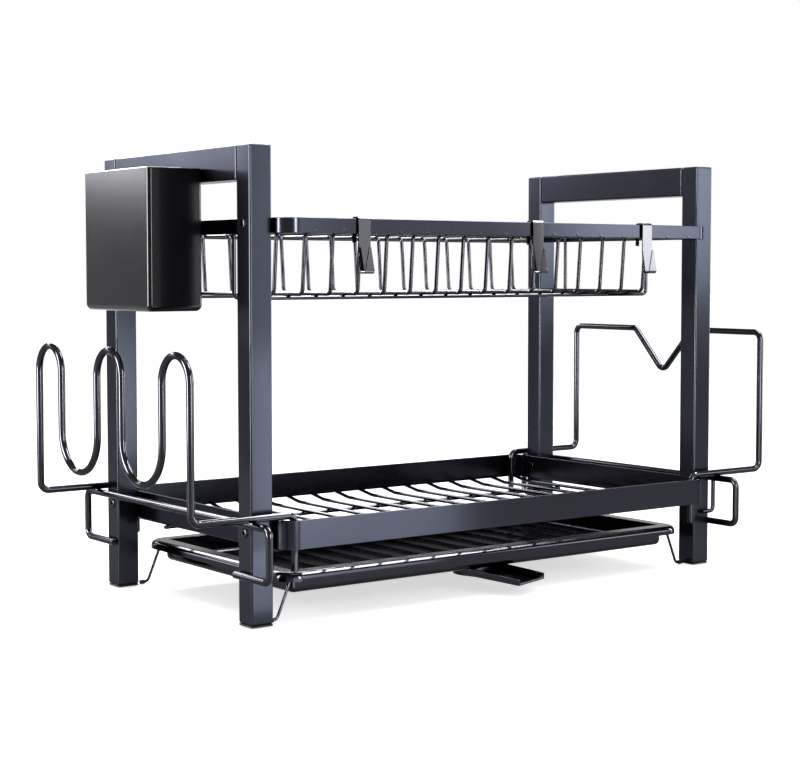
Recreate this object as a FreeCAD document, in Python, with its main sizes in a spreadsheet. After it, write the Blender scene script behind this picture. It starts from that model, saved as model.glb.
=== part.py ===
import FreeCAD
import Part

import math
import os

from Sketcher import Constraint

# Two-tier dish rack, millimetres.
# X runs along the rack, Y from its front to its back, Z up.
# The origin is on the table, under the middle of the rack.

Vector = FreeCAD.Vector
Rotation = FreeCAD.Rotation
Placement = FreeCAD.Placement

X_AXIS = Vector(1, 0, 0)
Y_AXIS = Vector(0, 1, 0)
Z_AXIS = Vector(0, 0, 1)

doc = FreeCAD.newDocument("dish_rack")


# Driving dimensions

SIZES = (
    ("rack_length", 510.0, "end frames, outer face to outer face"),
    ("rack_depth", 240.0, "legs, front face to back face"),
    ("rack_height", 375.0, "table to top of the end frames"),
    ("tube_size", 20.0, "square tube of the legs"),
    ("tube_wall", 1.2, "wall of the tubes"),
    ("tube_round", 1.6, "outer edges of the tubes"),
    ("bar_height", 27.0, "height of the top bar's section"),
    ("plug_depth", 12.0, "leg plug, inside the tube"),
    ("plug_foot", 2.0, "leg plug, below the tube"),
    ("plug_wall", 2.0, "wall of the plug's cup"),
    ("rim_overhang", 17.0, "rims, in front of and behind the legs"),
    ("rim_sheet", 2.0, "strip of both rims"),
    ("rim_corner", 15.0, "outer corner radius of both rims"),
    ("upper_rim_drop", 56.0, "top of the end frames to the upper rim's top edge"),
    ("upper_rim_height", 12.0, "strip height of the upper rim"),
    ("lower_rim_top", 84.2, "top edge of the lower rim"),
    ("lower_rim_height", 23.2, "strip height of the lower rim"),
    ("cross_wire", 3.3, "wires from front to back, both tiers"),
    ("shelf_lift", 0.3, "upper cross wires, above the upper rim's lower edge"),
    ("long_wire", 3.4, "wires along the rack, both tiers"),
    ("weld_depth", 0.3, "how far welded wires sink into each other"),
    ("upper_end_gap", 28.75, "upper rim's ends to the outer cross wires' middles"),
    ("upper_count", 16, "number of upper cross wires"),
    ("shelf_reach", 53.5, "upper cross wire, rim to the top of the trough"),
    ("trough_lean", 4.0, "lean of the trough's front and back"),
    ("trough_depth", 50.3, "upper cross wire, shelf to trough floor"),
    ("trough_bend", 5.0, "bend radius of the upper cross wires"),
    ("upper_rail_inset", 62.5, "upper long wires, behind the leg fronts"),
    ("upper_rail_lap", 6.0, "upper long wires' ends, up behind the rim"),
    ("upper_rail_bend", 5.0, "bend radius of the upper long wires"),
    ("lower_end_gap", 8.6, "lower rim's ends to the outer cross wires' middles"),
    ("lower_count", 17, "number of lower cross wires"),
    ("lower_sink", 3.9, "lower cross wires, from their ends down to the shelf"),
    ("lower_ramp", 22.0, "sloping ends of the lower cross wires"),
    ("lower_bend", 15.0, "bend radius of the lower cross wires"),
    ("lower_rail_inset", 57.0, "lower long wires, behind the leg fronts"),
    ("screw_size", 4.0, "screw shank"),
    ("upper_screw_drop", 4.8, "upper screws, below the upper rim's top edge"),
    ("lower_screw_drop", 10.2, "lower screws, below the lower rim's top edge"),
    ("screw_hole", 4.3, "holes in legs and rims"),
    ("screw_head", 8.4, "screw head diameter"),
    ("screw_head_height", 2.8, "screw head height"),
    ("nut_width", 7.0, "nut across its flats"),
    ("nut_height", 3.2, "nut height"),
    ("seat_gap", 0.3, "gap between pieces that rest on each other"),
    ("hook_width", 11.4, "hook strap"),
    ("hook_sheet", 1.2, "hook strap thickness"),
    ("hook_stand_off", 1.0, "gap between the rim and the front strap"),
    ("hook_bend", 1.8, "bend radius of the hooks, middle of the sheet"),
    ("hook_drop", 43.5, "hook, below the rim's top edge"),
    ("hook_tab_drop", 19.0, "hook's back tongue, below the rim's top edge"),
    ("hook_back_room", 3.8, "gap between the rim and the back tab"),
    ("hook_back_drop", 8.0, "hook's back tab at full width, below the rim's top edge"),
    ("hook_tab_width", 3.5, "hook's back tongue"),
    ("hook_taper", 20.0, "tapered length of the front strap"),
    ("hook_tip_width", 8.4, "hook at its lower bend"),
    ("hook_lip_reach", 7.5, "turned-up tip, in front of the strap"),
    ("hook_lip_height", 20.5, "turned-up tip, height"),
    ("hook_point", 1.6, "top of the turned-up tip"),
    ("hook_left_place", -160.5, "left hook from the middle of the rack"),
    ("hook_middle_place", 21.7, "middle hook from the middle of the rack"),
    ("hook_right_place", 151.3, "right hook from the middle of the rack"),
    ("caddy_width", 110.0, "cutlery caddy along Y"),
    ("caddy_depth", 49.0, "cutlery caddy along X"),
    ("caddy_height", 113.5, "cutlery caddy"),
    ("caddy_wall", 2.0, "cutlery caddy wall"),
    ("caddy_corner", 3.5, "outer corners away from the frame"),
    ("caddy_back_corner", 3.5, "outer corners at the frame"),
    ("caddy_foot_round", 5.0, "rounding round the floor"),
    ("caddy_gap", 1.0, "caddy to the end frame's outer face"),
    ("caddy_offset", 4.0, "caddy's middle behind the rack's middle"),
    ("caddy_hang", 40.0, "caddy's top edge above the upper rim"),
    ("hanger_width", 18.0, "caddy hanger"),
    ("hanger_sheet", 2.2, "caddy hanger thickness"),
    ("hanger_drop", 8.0, "caddy hanger's tongue behind the rim"),
    ("drain_slot_length", 26.0, "slots in the caddy floor"),
    ("drain_slot_width", 3.0, "slots in the caddy floor"),
    ("drain_slot_pitch", 11.0, "slots in the caddy floor"),
    ("drain_slot_count", 8, "slots in the caddy floor"),
    ("holder_wire", 6.0, "wire of the cup and board holders"),
    ("holder_reach", 59.0, "holders' loops, outside the end frames"),
    ("holder_run", 9.5, "holders' arms, in front of the leg fronts"),
    ("holder_inside", 33.7, "holders' hooks, inside the outer faces"),
    ("holder_hook_end", 43.0, "height of the holders' hook ends"),
    ("holder_bend", 7.5, "bend radius of the holders' corners"),
    ("cup_top", 214.0, "cup holder, middle of the wire at its tops"),
    ("cup_valley", 110.5, "cup holder, middle of the wire in its valleys"),
    ("cup_loop", 43.0, "cup holder, width of each loop"),
    ("board_top", 218.8, "board holder, middle of the wire at the top"),
    ("board_notch_width", 79.6, "board holder's notch at the top"),
    ("board_notch_depth", 43.4, "board holder's notch"),
    ("brace_reach", 31.0, "braces, in front of the leg fronts"),
    ("brace_foot", 40.5, "height of the braces' lower wires"),
    ("brace_return", 19.0, "braces' ends, behind the leg fronts"),
    ("brace_bend", 6.5, "bend radius of the braces"),
    ("stop_wire", 4.0, "board holder's stop"),
    ("stop_foot", 50.5, "height of the stop's lower wire"),
    ("stop_length", 14.5, "stop's lower wire"),
    ("tray_side_gap", 13.0, "legs' inner faces to the tray's rim"),
    ("tray_front", 2.0, "tray's rim behind the leg fronts"),
    ("tray_back", 5.0, "tray's rim in front of the leg backs"),
    ("tray_top", 39.0, "top of the tray's rim"),
    ("tray_height", 19.0, "tray, rim to the underside of its floor"),
    ("tray_wall", 2.0, "tray wall"),
    ("tray_lip", 7.5, "height of the tray's outer lip"),
    ("tray_edge", 5.0, "outer rounding of the tray's rim"),
    ("tray_flange", 14.0, "width of the tray's flange"),
    ("tray_corner", 18.0, "corner radius of the tray's rim"),
    ("tray_floor_round", 5.0, "rounding under the tray"),
    ("tray_rib_height", 2.0, "ribs on the tray's floor"),
    ("tray_rib_width", 9.0, "ribs on the tray's floor"),
    ("tray_rib_pitch", 28.0, "ribs on the tray's floor"),
    ("tray_rib_count", 14, "ribs on the tray's floor"),
    ("tray_rib_end", 16.0, "ribs' ends inside the tray's walls"),
    ("drain_place", 33.0, "drain, behind the tray's front lip"),
    ("drain_bore", 14.0, "drain's bore"),
    ("drain_wall", 2.0, "drain nozzle's wall"),
    ("drain_lip", 1.2, "drain nozzle's snap lip"),
    ("drain_deck", 2.0, "deck of the spout round the nozzle"),
    ("spout_length", 55.0, "spout, drain to mouth"),
    ("spout_width", 44.0, "spout"),
    ("spout_wall", 2.0, "spout wall"),
    ("spout_side", 5.5, "height of the spout's sides at its mouth"),
    ("spout_mouth", 9.5, "height of the spout's underside at its mouth"),
    ("spout_room", 7.0, "spout's back end, tray to the spout's underside"),
    ("spout_turn", 19.0, "degrees, spout turned to the right"),
    ("foot_wire", 2.6, "tray's foot wires"),
    ("foot_inset", 10.5, "tray's feet, behind the tray's front lip"),
    ("foot_side", 11.9, "tray's foot wires, inside the tray's rim"),
    ("foot_tip", 7.0, "tray feet's tips"),
    ("foot_leg_gap", 3.2, "legs' inner faces to the tray feet's sleeves"),
    ("foot_bend", 5.0, "bend radius of the foot wires"),
    ("sleeve_wall", 0.7, "sleeves on the foot wires' tips"),
)

FITTED = (
    ("tray_width", "=rack_length - 2 * tube_size - 2 * tray_side_gap", "drip tray over its rim"),
    ("tray_depth", "=rack_depth - tray_front - tray_back", "drip tray over its rim"),
    ("upper_pitch", "=(rack_length - 2 * tube_size - 2 * upper_end_gap) / (upper_count - 1)",
     "spacing of the upper cross wires"),
    ("lower_pitch", "=(rack_length - 2 * tube_size - 2 * lower_end_gap) / (lower_count - 1)",
     "spacing of the lower cross wires"),
)

sheet = doc.addObject("Spreadsheet::Sheet", "Sizes")
for row, (alias, value, note) in enumerate(SIZES + FITTED, start=1):
    sheet.set("A%d" % row, alias)
    sheet.set("B%d" % row, str(value))
    sheet.set("C%d" % row, note)
    sheet.setAlias("B%d" % row, alias)
doc.recompute()


def size(alias):
    return float(sheet.get(alias))


parts = []


def keep(part, label):
    """Name a finished piece and list it for writing."""
    part.Label = label
    parts.append(part)
    return part


# Places that several pieces share

half_length = size("rack_length") / 2
half_depth = size("rack_depth") / 2
tube = size("tube_size")
bar_bottom = size("rack_height") - size("bar_height")
rim_half_length = half_length - tube
rim_half_depth = half_depth + size("rim_overhang")
upper_rim_top = size("rack_height") - size("upper_rim_drop")
upper_rim_bottom = upper_rim_top - size("upper_rim_height")
lower_rim_bottom = size("lower_rim_top") - size("lower_rim_height")
upper_screw_height = upper_rim_top - size("upper_screw_drop")
lower_screw_height = size("lower_rim_top") - size("lower_screw_drop")
screw_place = half_depth - tube / 2


# Features of a body

def new_body(name, place=Vector(0, 0, 0), turn=0.0):
    body = doc.addObject("PartDesign::Body", name)
    body.Placement = Placement(place, Rotation(Z_AXIS, turn))
    return body


def on_plane(body, name, role, offset=0.0):
    """An empty sketch on one of the body's own planes."""
    sketch = body.newObject("Sketcher::SketchObject", name)
    support = [plane for plane in body.Origin.OriginFeatures if plane.Role == role][0]
    sketch.AttachmentSupport = [(support, "")]
    sketch.MapMode = "FlatFace"
    sketch.AttachmentOffset = Placement(Vector(0, 0, offset), Rotation())
    return sketch


def place_middle(sketch, first, first_end, second, second_end, middle_x, middle_y):
    """Hold two opposite points of a shape evenly about its middle."""
    middle = sketch.addGeometry(Part.Point(Vector(middle_x, middle_y, 0)), True)
    sketch.addConstraint(Constraint("Symmetric", first, first_end, second, second_end, middle, 1))
    sketch.addConstraint(Constraint("DistanceX", -1, 1, middle, 1, middle_x))
    sketch.addConstraint(Constraint("DistanceY", -1, 1, middle, 1, middle_y))


def rectangle(sketch, width, height, middle_x=0.0, middle_y=0.0):
    """A rectangle about a middle, its width and height given as expressions."""
    half_width = sketch.evalExpression(width) / 2
    half_height = sketch.evalExpression(height) / 2
    corners = [
        Vector(middle_x - half_width, middle_y - half_height, 0),
        Vector(middle_x + half_width, middle_y - half_height, 0),
        Vector(middle_x + half_width, middle_y + half_height, 0),
        Vector(middle_x - half_width, middle_y + half_height, 0),
    ]
    first = sketch.GeometryCount
    for corner, following in zip(corners, corners[1:] + corners[:1]):
        sketch.addGeometry(Part.LineSegment(corner, following), False)
    for side in range(4):
        sketch.addConstraint(Constraint("Coincident", first + side, 2, first + (side + 1) % 4, 1))
        sketch.addConstraint(Constraint("Vertical" if side % 2 else "Horizontal", first + side))
    wide = sketch.addConstraint(Constraint("DistanceX", first, 1, first, 2, 2 * half_width))
    high = sketch.addConstraint(Constraint("DistanceY", first + 1, 1, first + 1, 2, 2 * half_height))
    place_middle(sketch, first, 1, first + 1, 2, middle_x, middle_y)
    sketch.setExpression("Constraints[%d]" % wide, width)
    sketch.setExpression("Constraints[%d]" % high, height)


def rounded(sketch, width, height, radius):
    """A rectangle about the plane's origin, with round corners."""
    half_width = sketch.evalExpression(width) / 2
    half_height = sketch.evalExpression(height) / 2
    corner = sketch.evalExpression(radius)
    run_x = half_width - corner
    run_y = half_height - corner
    lines = (
        (Vector(-run_x, -half_height, 0), Vector(run_x, -half_height, 0)),
        (Vector(half_width, -run_y, 0), Vector(half_width, run_y, 0)),
        (Vector(run_x, half_height, 0), Vector(-run_x, half_height, 0)),
        (Vector(-half_width, run_y, 0), Vector(-half_width, -run_y, 0)),
    )
    middles = ((run_x, -run_y), (run_x, run_y), (-run_x, run_y), (-run_x, -run_y))
    for side, (start, end) in enumerate(lines):
        sketch.addGeometry(Part.LineSegment(start, end), False)
        bend = Part.Circle(Vector(middles[side][0], middles[side][1], 0), Z_AXIS, corner)
        turn = (side - 1) * math.pi / 2
        sketch.addGeometry(Part.ArcOfCircle(bend, turn, turn + math.pi / 2), False)
    for side in range(4):
        line = 2 * side
        sketch.addConstraint(Constraint("Tangent", line, 2, line + 1, 1))
        sketch.addConstraint(Constraint("Tangent", line + 1, 2, (line + 2) % 8, 1))
        sketch.addConstraint(Constraint("Vertical" if side % 2 else "Horizontal", line))
    for side in range(1, 4):
        sketch.addConstraint(Constraint("Equal", 1, 2 * side + 1))
    bend_size = sketch.addConstraint(Constraint("Radius", 1, corner))
    wide = sketch.addConstraint(Constraint("DistanceX", 6, 1, 2, 1, 2 * half_width))
    high = sketch.addConstraint(Constraint("DistanceY", 0, 1, 4, 1, 2 * half_height))
    place_middle(sketch, 0, 1, 4, 1, 0.0, 0.0)
    sketch.setExpression("Constraints[%d]" % bend_size, radius)
    sketch.setExpression("Constraints[%d]" % wide, width)
    sketch.setExpression("Constraints[%d]" % high, height)


def circle(sketch, diameter, middle_x=0.0, middle_y=0.0):
    """A circle about a middle, its diameter given as an expression."""
    ring = sketch.addGeometry(Part.Circle(Vector(middle_x, middle_y, 0), Z_AXIS, 1.0), False)
    sketch.addConstraint(Constraint("DistanceX", -1, 1, ring, 3, middle_x))
    sketch.addConstraint(Constraint("DistanceY", -1, 1, ring, 3, middle_y))
    across = sketch.addConstraint(Constraint("Diameter", ring, 2.0))
    sketch.setExpression("Constraints[%d]" % across, diameter)


def outline(sketch, points):
    """A closed outline of straight lines through the points."""
    first = sketch.GeometryCount
    count = len(points)
    for index in range(count):
        start = Vector(points[index][0], points[index][1], 0)
        end = Vector(points[(index + 1) % count][0], points[(index + 1) % count][1], 0)
        sketch.addGeometry(Part.LineSegment(start, end), False)
    for index in range(count):
        sketch.addConstraint(Constraint("Coincident", first + index, 2, first + (index + 1) % count, 1))


def pad(body, sketch, length, middle=False, backwards=False):
    feature = body.newObject("PartDesign::Pad", sketch.Name + "_pad")
    feature.Profile = sketch
    feature.setExpression("Length", length)
    feature.SideType = "Symmetric" if middle else "One side"
    feature.Reversed = backwards
    doc.recompute()
    return feature


def pocket(body, sketch, length=None, middle=False, backwards=False):
    """Cut to a depth or, without one, through everything both ways."""
    before = body.Shape.Volume
    feature = body.newObject("PartDesign::Pocket", sketch.Name + "_cut")
    feature.Profile = sketch
    if length is None:
        feature.Type = "ThroughAll"
        feature.SideType = "Symmetric"
    else:
        feature.setExpression("Length", length)
        feature.SideType = "Symmetric" if middle else "One side"
        feature.Reversed = backwards
    doc.recompute()
    if not body.Shape.Volume < before:
        raise RuntimeError(sketch.Name + " cuts nothing")
    return feature


def round_edges(body, name, test, radius):
    """Fillet the edges of the body's last feature that pass a test."""
    doc.recompute()
    last = body.Tip
    names = ["Edge%d" % (index + 1) for index, edge in enumerate(last.Shape.Edges) if test(edge)]
    if not names:
        raise RuntimeError(name + " finds no edges")
    feature = body.newObject("PartDesign::Fillet", name)
    feature.Base = (last, names)
    feature.setExpression("Radius", radius)
    doc.recompute()
    return feature


def upright(edge):
    """True for a straight edge that stands on end."""
    if len(edge.Vertexes) != 2:
        return False
    run = edge.Vertexes[1].Point - edge.Vertexes[0].Point
    return abs(run.x) + abs(run.y) < 1e-6 and run.Length > 1e-6


def level(edge, height):
    """True for an edge that lies flat at one height."""
    box = edge.BoundBox
    return abs(box.ZMin - height) < 1e-4 and abs(box.ZMax - height) < 1e-4


# Wires and plain solids

def bent_path(points, radii):
    """Straight runs through the points, joined by tangent arcs."""
    edges = []
    start = points[0]
    for index, radius in enumerate(radii, start=1):
        corner = points[index]
        incoming = (corner - points[index - 1]).normalize()
        outgoing = (points[index + 1] - corner).normalize()
        half_turn = incoming.getAngle(outgoing) / 2
        cut = radius * math.tan(half_turn)
        first = corner - incoming * cut
        last = corner + outgoing * cut
        inward = (outgoing - incoming).normalize()
        crest = corner + inward * (radius / math.cos(half_turn) - radius)
        if (first - start).Length > 1e-4:
            edges.append(Part.LineSegment(start, first).toShape())
        edges.append(Part.Arc(first, crest, last).toShape())
        start = last
    if (points[-1] - start).Length > 1e-4:
        edges.append(Part.LineSegment(start, points[-1]).toShape())
    return Part.Wire(edges)


def bent_wire(name, points, radii, diameter):
    """A round wire bent along a path; the diameter is an alias of the sheet."""
    spine = doc.addObject("Part::Feature", name + "_path")
    spine.Shape = bent_path(points, radii)
    section = doc.addObject("Part::Circle", name + "_section")
    section.setExpression("Radius", "Sizes.%s / 2" % diameter)
    section.Placement = Placement(points[0], Rotation(Z_AXIS, points[1] - points[0]))
    wire = doc.addObject("Part::Sweep", name)
    wire.Sections = [section]
    wire.Spine = (spine, [])
    wire.Solid = True
    wire.Frenet = False
    return wire


def rod(name, diameter, start, end):
    """A straight round rod; the diameter is an alias of the sheet."""
    solid = doc.addObject("Part::Cylinder", name)
    solid.setExpression("Radius", "Sizes.%s / 2" % diameter)
    solid.Height = (end - start).Length
    solid.Placement = Placement(start, Rotation(Z_AXIS, end - start))
    return solid


def group(name, solids):
    """Like pieces that share one node."""
    together = doc.addObject("Part::Compound", name)
    together.Links = solids
    return together


def fuse(name, solids):
    joined = doc.addObject("Part::MultiFuse", name)
    joined.Shapes = solids
    return joined


def cut(name, base, tool):
    left_over = doc.addObject("Part::Cut", name)
    left_over.Base = base
    left_over.Tool = tool
    return left_over


# End frames: square legs under a top bar

def leg_edge(edge, top, free_side):
    """True for the leg's edges on its free side and those round its top, not the one at the bar."""
    middle = edge.CenterOfMass
    on_free_side = abs(middle.y - free_side) < 1e-4
    if upright(edge):
        return on_free_side
    along_bar = abs(middle.y - tube / 2) < 1e-4
    return level(edge, top) and (on_free_side or along_bar)


def make_leg(label, corner_x, corner_y):
    """A square tube, open below and closed flush at the top."""
    leg = new_body(label, Vector(corner_x, corner_y, size("plug_foot")))
    section = on_plane(leg, label + "_section", "XY_Plane")
    rectangle(section, "Sizes.tube_size", "Sizes.tube_size", tube / 2, tube / 2)
    length = "Sizes.rack_height - Sizes.plug_foot"
    pad(leg, section, length)
    top = size("rack_height") - size("plug_foot")
    free_side = 0.0 if corner_y < 0 else tube
    round_edges(leg, label + "_edges", lambda edge: leg_edge(edge, top, free_side), "Sizes.tube_round")
    hollow = on_plane(leg, label + "_hollow", "XY_Plane")
    inner = "Sizes.tube_size - 2 * Sizes.tube_wall"
    rectangle(hollow, inner, inner, tube / 2, tube / 2)
    pocket(leg, hollow, length + " - Sizes.tube_wall", backwards=True)
    holes = on_plane(leg, label + "_holes", "YZ_Plane")
    for height in (lower_screw_height, upper_screw_height):
        circle(holes, "Sizes.screw_hole", tube / 2, height - size("plug_foot"))
    pocket(leg, holes)
    return keep(leg, label)


def make_top_bar(label, corner_x):
    """A tube between the legs, welded on and ground flush."""
    bar = new_body(label, Vector(corner_x, tube - half_depth, bar_bottom))
    section = on_plane(bar, label + "_section", "XZ_Plane")
    rectangle(section, "Sizes.tube_size", "Sizes.bar_height", tube / 2, size("bar_height") / 2)
    pad(bar, section, "Sizes.rack_depth - 2 * Sizes.tube_size", backwards=True)
    round_edges(bar, label + "_edges", lambda edge: level(edge, size("bar_height"))
                and edge.Length > tube + 1, "Sizes.tube_round")
    hollow = on_plane(bar, label + "_hollow", "XZ_Plane")
    thin = " - 2 * Sizes.tube_wall"
    rectangle(hollow, "Sizes.tube_size" + thin, "Sizes.bar_height" + thin, tube / 2, size("bar_height") / 2)
    pocket(bar, hollow)
    return keep(bar, label)


def make_plug(name, corner_x, corner_y):
    """A plastic cup pressed into the leg, with a foot as wide as the tube."""
    plug = new_body(name, Vector(corner_x + tube / 2, corner_y + tube / 2, 0))
    foot = on_plane(plug, name + "_foot", "XY_Plane")
    rectangle(foot, "Sizes.tube_size", "Sizes.tube_size")
    pad(plug, foot, "Sizes.plug_foot")
    body_width = "Sizes.tube_size - 2 * Sizes.tube_wall"
    shank = on_plane(plug, name + "_shank", "XY_Plane", size("plug_foot"))
    rectangle(shank, body_width, body_width)
    hollow = body_width + " - 2 * Sizes.plug_wall"
    rectangle(shank, hollow, hollow)
    pad(plug, shank, "Sizes.plug_depth")
    return plug


corners = {
    "left_front": (-half_length, -half_depth),
    "left_back": (-half_length, half_depth - tube),
    "right_front": (half_length - tube, -half_depth),
    "right_back": (half_length - tube, half_depth - tube),
}
for corner, (corner_x, corner_y) in corners.items():
    make_leg(corner + "_leg", corner_x, corner_y)
make_top_bar("left_top_bar", -half_length)
make_top_bar("right_top_bar", half_length - tube)
plugs = [make_plug(corner + "_plug", x, y) for corner, (x, y) in corners.items()]
keep(group("leg_plugs", plugs), "leg_plugs")


# Rims: flat strip bent into a rounded rectangle, screwed between the legs

def make_rim(label, bottom, height, screw_height):
    rim = new_body(label, Vector(0, 0, bottom))
    outer_length = "Sizes.rack_length - 2 * Sizes.tube_size"
    outer_depth = "Sizes.rack_depth + 2 * Sizes.rim_overhang"
    thin = " - 2 * Sizes.rim_sheet"
    outside = on_plane(rim, label + "_outside", "XY_Plane")
    rounded(outside, outer_length, outer_depth, "Sizes.rim_corner")
    pad(rim, outside, "Sizes." + height)
    inside = on_plane(rim, label + "_inside", "XY_Plane", size(height))
    rounded(inside, outer_length + thin, outer_depth + thin, "Sizes.rim_corner - Sizes.rim_sheet")
    pocket(rim, inside, "Sizes." + height)
    holes = on_plane(rim, label + "_holes", "YZ_Plane")
    for side in (-1, 1):
        circle(holes, "Sizes.screw_hole", side * screw_place, screw_height - bottom)
    pocket(rim, holes)
    return keep(rim, label)


make_rim("upper_rim", upper_rim_bottom, "upper_rim_height", upper_screw_height)
make_rim("lower_rim", lower_rim_bottom, "lower_rim_height", lower_screw_height)


# Upper tier: stepped wires hold the plates on edge

shelf_height = upper_rim_bottom + size("shelf_lift") + size("cross_wire") / 2
shelf_end = rim_half_depth - size("rim_sheet")
trough_top = rim_half_depth - size("rim_sheet") - size("shelf_reach")
trough_floor = shelf_height - size("trough_depth")
trough_foot = trough_top - size("trough_lean")


def stepped_wire(name, x):
    profile = (
        (-shelf_end, shelf_height),
        (-trough_top, shelf_height),
        (-trough_foot, trough_floor),
        (trough_foot, trough_floor),
        (trough_top, shelf_height),
        (shelf_end, shelf_height),
    )
    points = [Vector(x, y, z) for y, z in profile]
    return bent_wire(name, points, [size("trough_bend")] * 4, "cross_wire")


def spread(count, pitch):
    """Evenly spaced places about the middle."""
    return [(index - (count - 1) / 2) * pitch for index in range(count)]


upper_places = spread(int(size("upper_count")), size("upper_pitch"))
upper_wires = [stepped_wire("upper_cross_%d" % index, x) for index, x in enumerate(upper_places)]
keep(group("upper_cross_wires", upper_wires), "upper_cross_wires")

upper_rail_height = trough_floor - (size("cross_wire") + size("long_wire")) / 2 + size("weld_depth")
upper_rail_top = upper_rim_bottom + size("upper_rail_lap")
upper_rail_end = rim_half_length - size("rim_sheet") - size("long_wire") / 2


def upper_rail(name, y):
    """Along the trough, its ends turned up to the rim's lower edge."""
    points = [
        Vector(-upper_rail_end, y, upper_rail_top),
        Vector(-upper_rail_end, y, upper_rail_height),
        Vector(upper_rail_end, y, upper_rail_height),
        Vector(upper_rail_end, y, upper_rail_top),
    ]
    return bent_wire(name, points, [size("upper_rail_bend")] * 2, "long_wire")


upper_rail_place = half_depth - size("upper_rail_inset")
upper_rails = [upper_rail("upper_rail_%d" % side, side * upper_rail_place) for side in (-1, 1)]
keep(group("upper_long_wires", upper_rails), "upper_long_wires")


# Lower tier: flat wires inside the deep rim

lower_end_height = lower_rim_bottom + size("cross_wire") / 2
lower_wire_height = lower_end_height - size("lower_sink")
lower_ramp_foot = shelf_end - size("lower_ramp")


def rim_inner_face(x):
    """How far from the middle the rim's inner face is, at the side of a wire."""
    into_corner = abs(x) + size("cross_wire") / 2 - rim_half_length + size("rim_corner")
    if into_corner <= 0:
        return shelf_end
    inner_corner = size("rim_corner") - size("rim_sheet")
    return rim_half_depth - size("rim_corner") + math.sqrt(inner_corner ** 2 - into_corner ** 2)


def dished_wire(name, x):
    """From the rim's inner face down to the shelf, along it and up again."""
    end = rim_inner_face(x) + size("weld_depth")
    points = [
        Vector(x, -end, lower_end_height),
        Vector(x, -lower_ramp_foot, lower_wire_height),
        Vector(x, lower_ramp_foot, lower_wire_height),
        Vector(x, end, lower_end_height),
    ]
    return bent_wire(name, points, [size("lower_bend")] * 2, "cross_wire")


lower_places = spread(int(size("lower_count")), size("lower_pitch"))
lower_wires = [dished_wire("lower_cross_%d" % index, x) for index, x in enumerate(lower_places)]
keep(group("lower_cross_wires", lower_wires), "lower_cross_wires")

lower_rail_height = lower_wire_height - (size("cross_wire") + size("long_wire")) / 2 + size("weld_depth")
lower_rail_end = lower_places[-1] + size("cross_wire")
lower_rail_place = half_depth - size("lower_rail_inset")
lower_rails = [rod("lower_rail_%d" % side, "long_wire", Vector(-lower_rail_end, side * lower_rail_place,
                   lower_rail_height), Vector(lower_rail_end, side * lower_rail_place, lower_rail_height))
               for side in (-1, 1)]
keep(group("lower_long_wires", lower_rails), "lower_long_wires")


# Screws through the legs, with nuts inside the rims

def make_screw(name, side, y, z):
    """Head on the leg's outer face, shank through leg, rim and nut."""
    face = Vector(side * half_length, y, z)
    inward = Vector(-side, 0, 0)
    shank_end = tube + size("rim_sheet") + size("nut_height")
    head = rod(name + "_head", "screw_head", face - inward * size("screw_head_height"), face)
    shank = rod(name + "_shank", "screw_size", face, face + inward * shank_end)
    return fuse(name, [head, shank])


def make_nut(name, side, y, z):
    seat = Vector(side * (rim_half_length - size("rim_sheet")), y, z)
    inward = Vector(-side, 0, 0)
    hexagon = doc.addObject("Part::Prism", name + "_hexagon")
    hexagon.Polygon = 6
    hexagon.setExpression("Circumradius", "Sizes.nut_width / sqrt(3)")
    hexagon.setExpression("Height", "Sizes.nut_height")
    hexagon.Placement = Placement(seat, Rotation(Z_AXIS, inward))
    bore = rod(name + "_bore", "screw_hole", seat, seat + inward * size("nut_height"))
    return cut(name, hexagon, bore)


screws = []
nuts = []
for side in (-1, 1):
    for tier, height in (("upper", upper_screw_height), ("lower", lower_screw_height)):
        for y in (-screw_place, screw_place):
            tag = "%s_%s_%d" % (tier, "left" if side < 0 else "right", len(screws))
            screws.append(make_screw("screw_" + tag, side, y, height))
            nuts.append(make_nut("nut_" + tag, side, y, height))
keep(group("frame_screws", screws), "frame_screws")
keep(group("frame_nuts", nuts), "frame_nuts")


# Hooks: a bent strap over the front of the upper rim

def strap_outline(points, radii, thickness):
    """The two sides of a bent strap, as closed lines and arcs in its side view."""
    sides = []
    for hand in (1, -1):
        offset = hand * thickness / 2
        shifted = []
        count = len(points)
        for index in range(count):
            before = points[max(index, 1)] - points[max(index, 1) - 1]
            after = points[min(index, count - 2) + 1] - points[min(index, count - 2)]
            before.normalize()
            after.normalize()
            normal_before = Vector(-before.y, before.x, 0)
            normal_after = Vector(-after.y, after.x, 0)
            share = 1 + normal_before.dot(normal_after)
            shifted.append(points[index] + (normal_before + normal_after) * (offset / share))
        bends = []
        for index, radius in enumerate(radii, start=1):
            before = points[index] - points[index - 1]
            after = points[index + 1] - points[index]
            left_turn = before.cross(after).z > 0
            bends.append(radius - offset if left_turn else radius + offset)
        sides.append(bent_path(shifted, bends))
    first, second = sides
    curves = [edge.Curve.toShape(edge.FirstParameter, edge.LastParameter) for edge in first.Edges]
    curves += [edge.Curve.toShape(edge.FirstParameter, edge.LastParameter) for edge in second.Edges]
    for end in (0, -1):
        one = first.Vertexes[end]
        other = second.Vertexes[end]
        curves.append(Part.LineSegment(one.Point, other.Point).toShape())
    return Part.Face(Part.Wire(Part.__sortEdges__(curves)))


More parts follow.
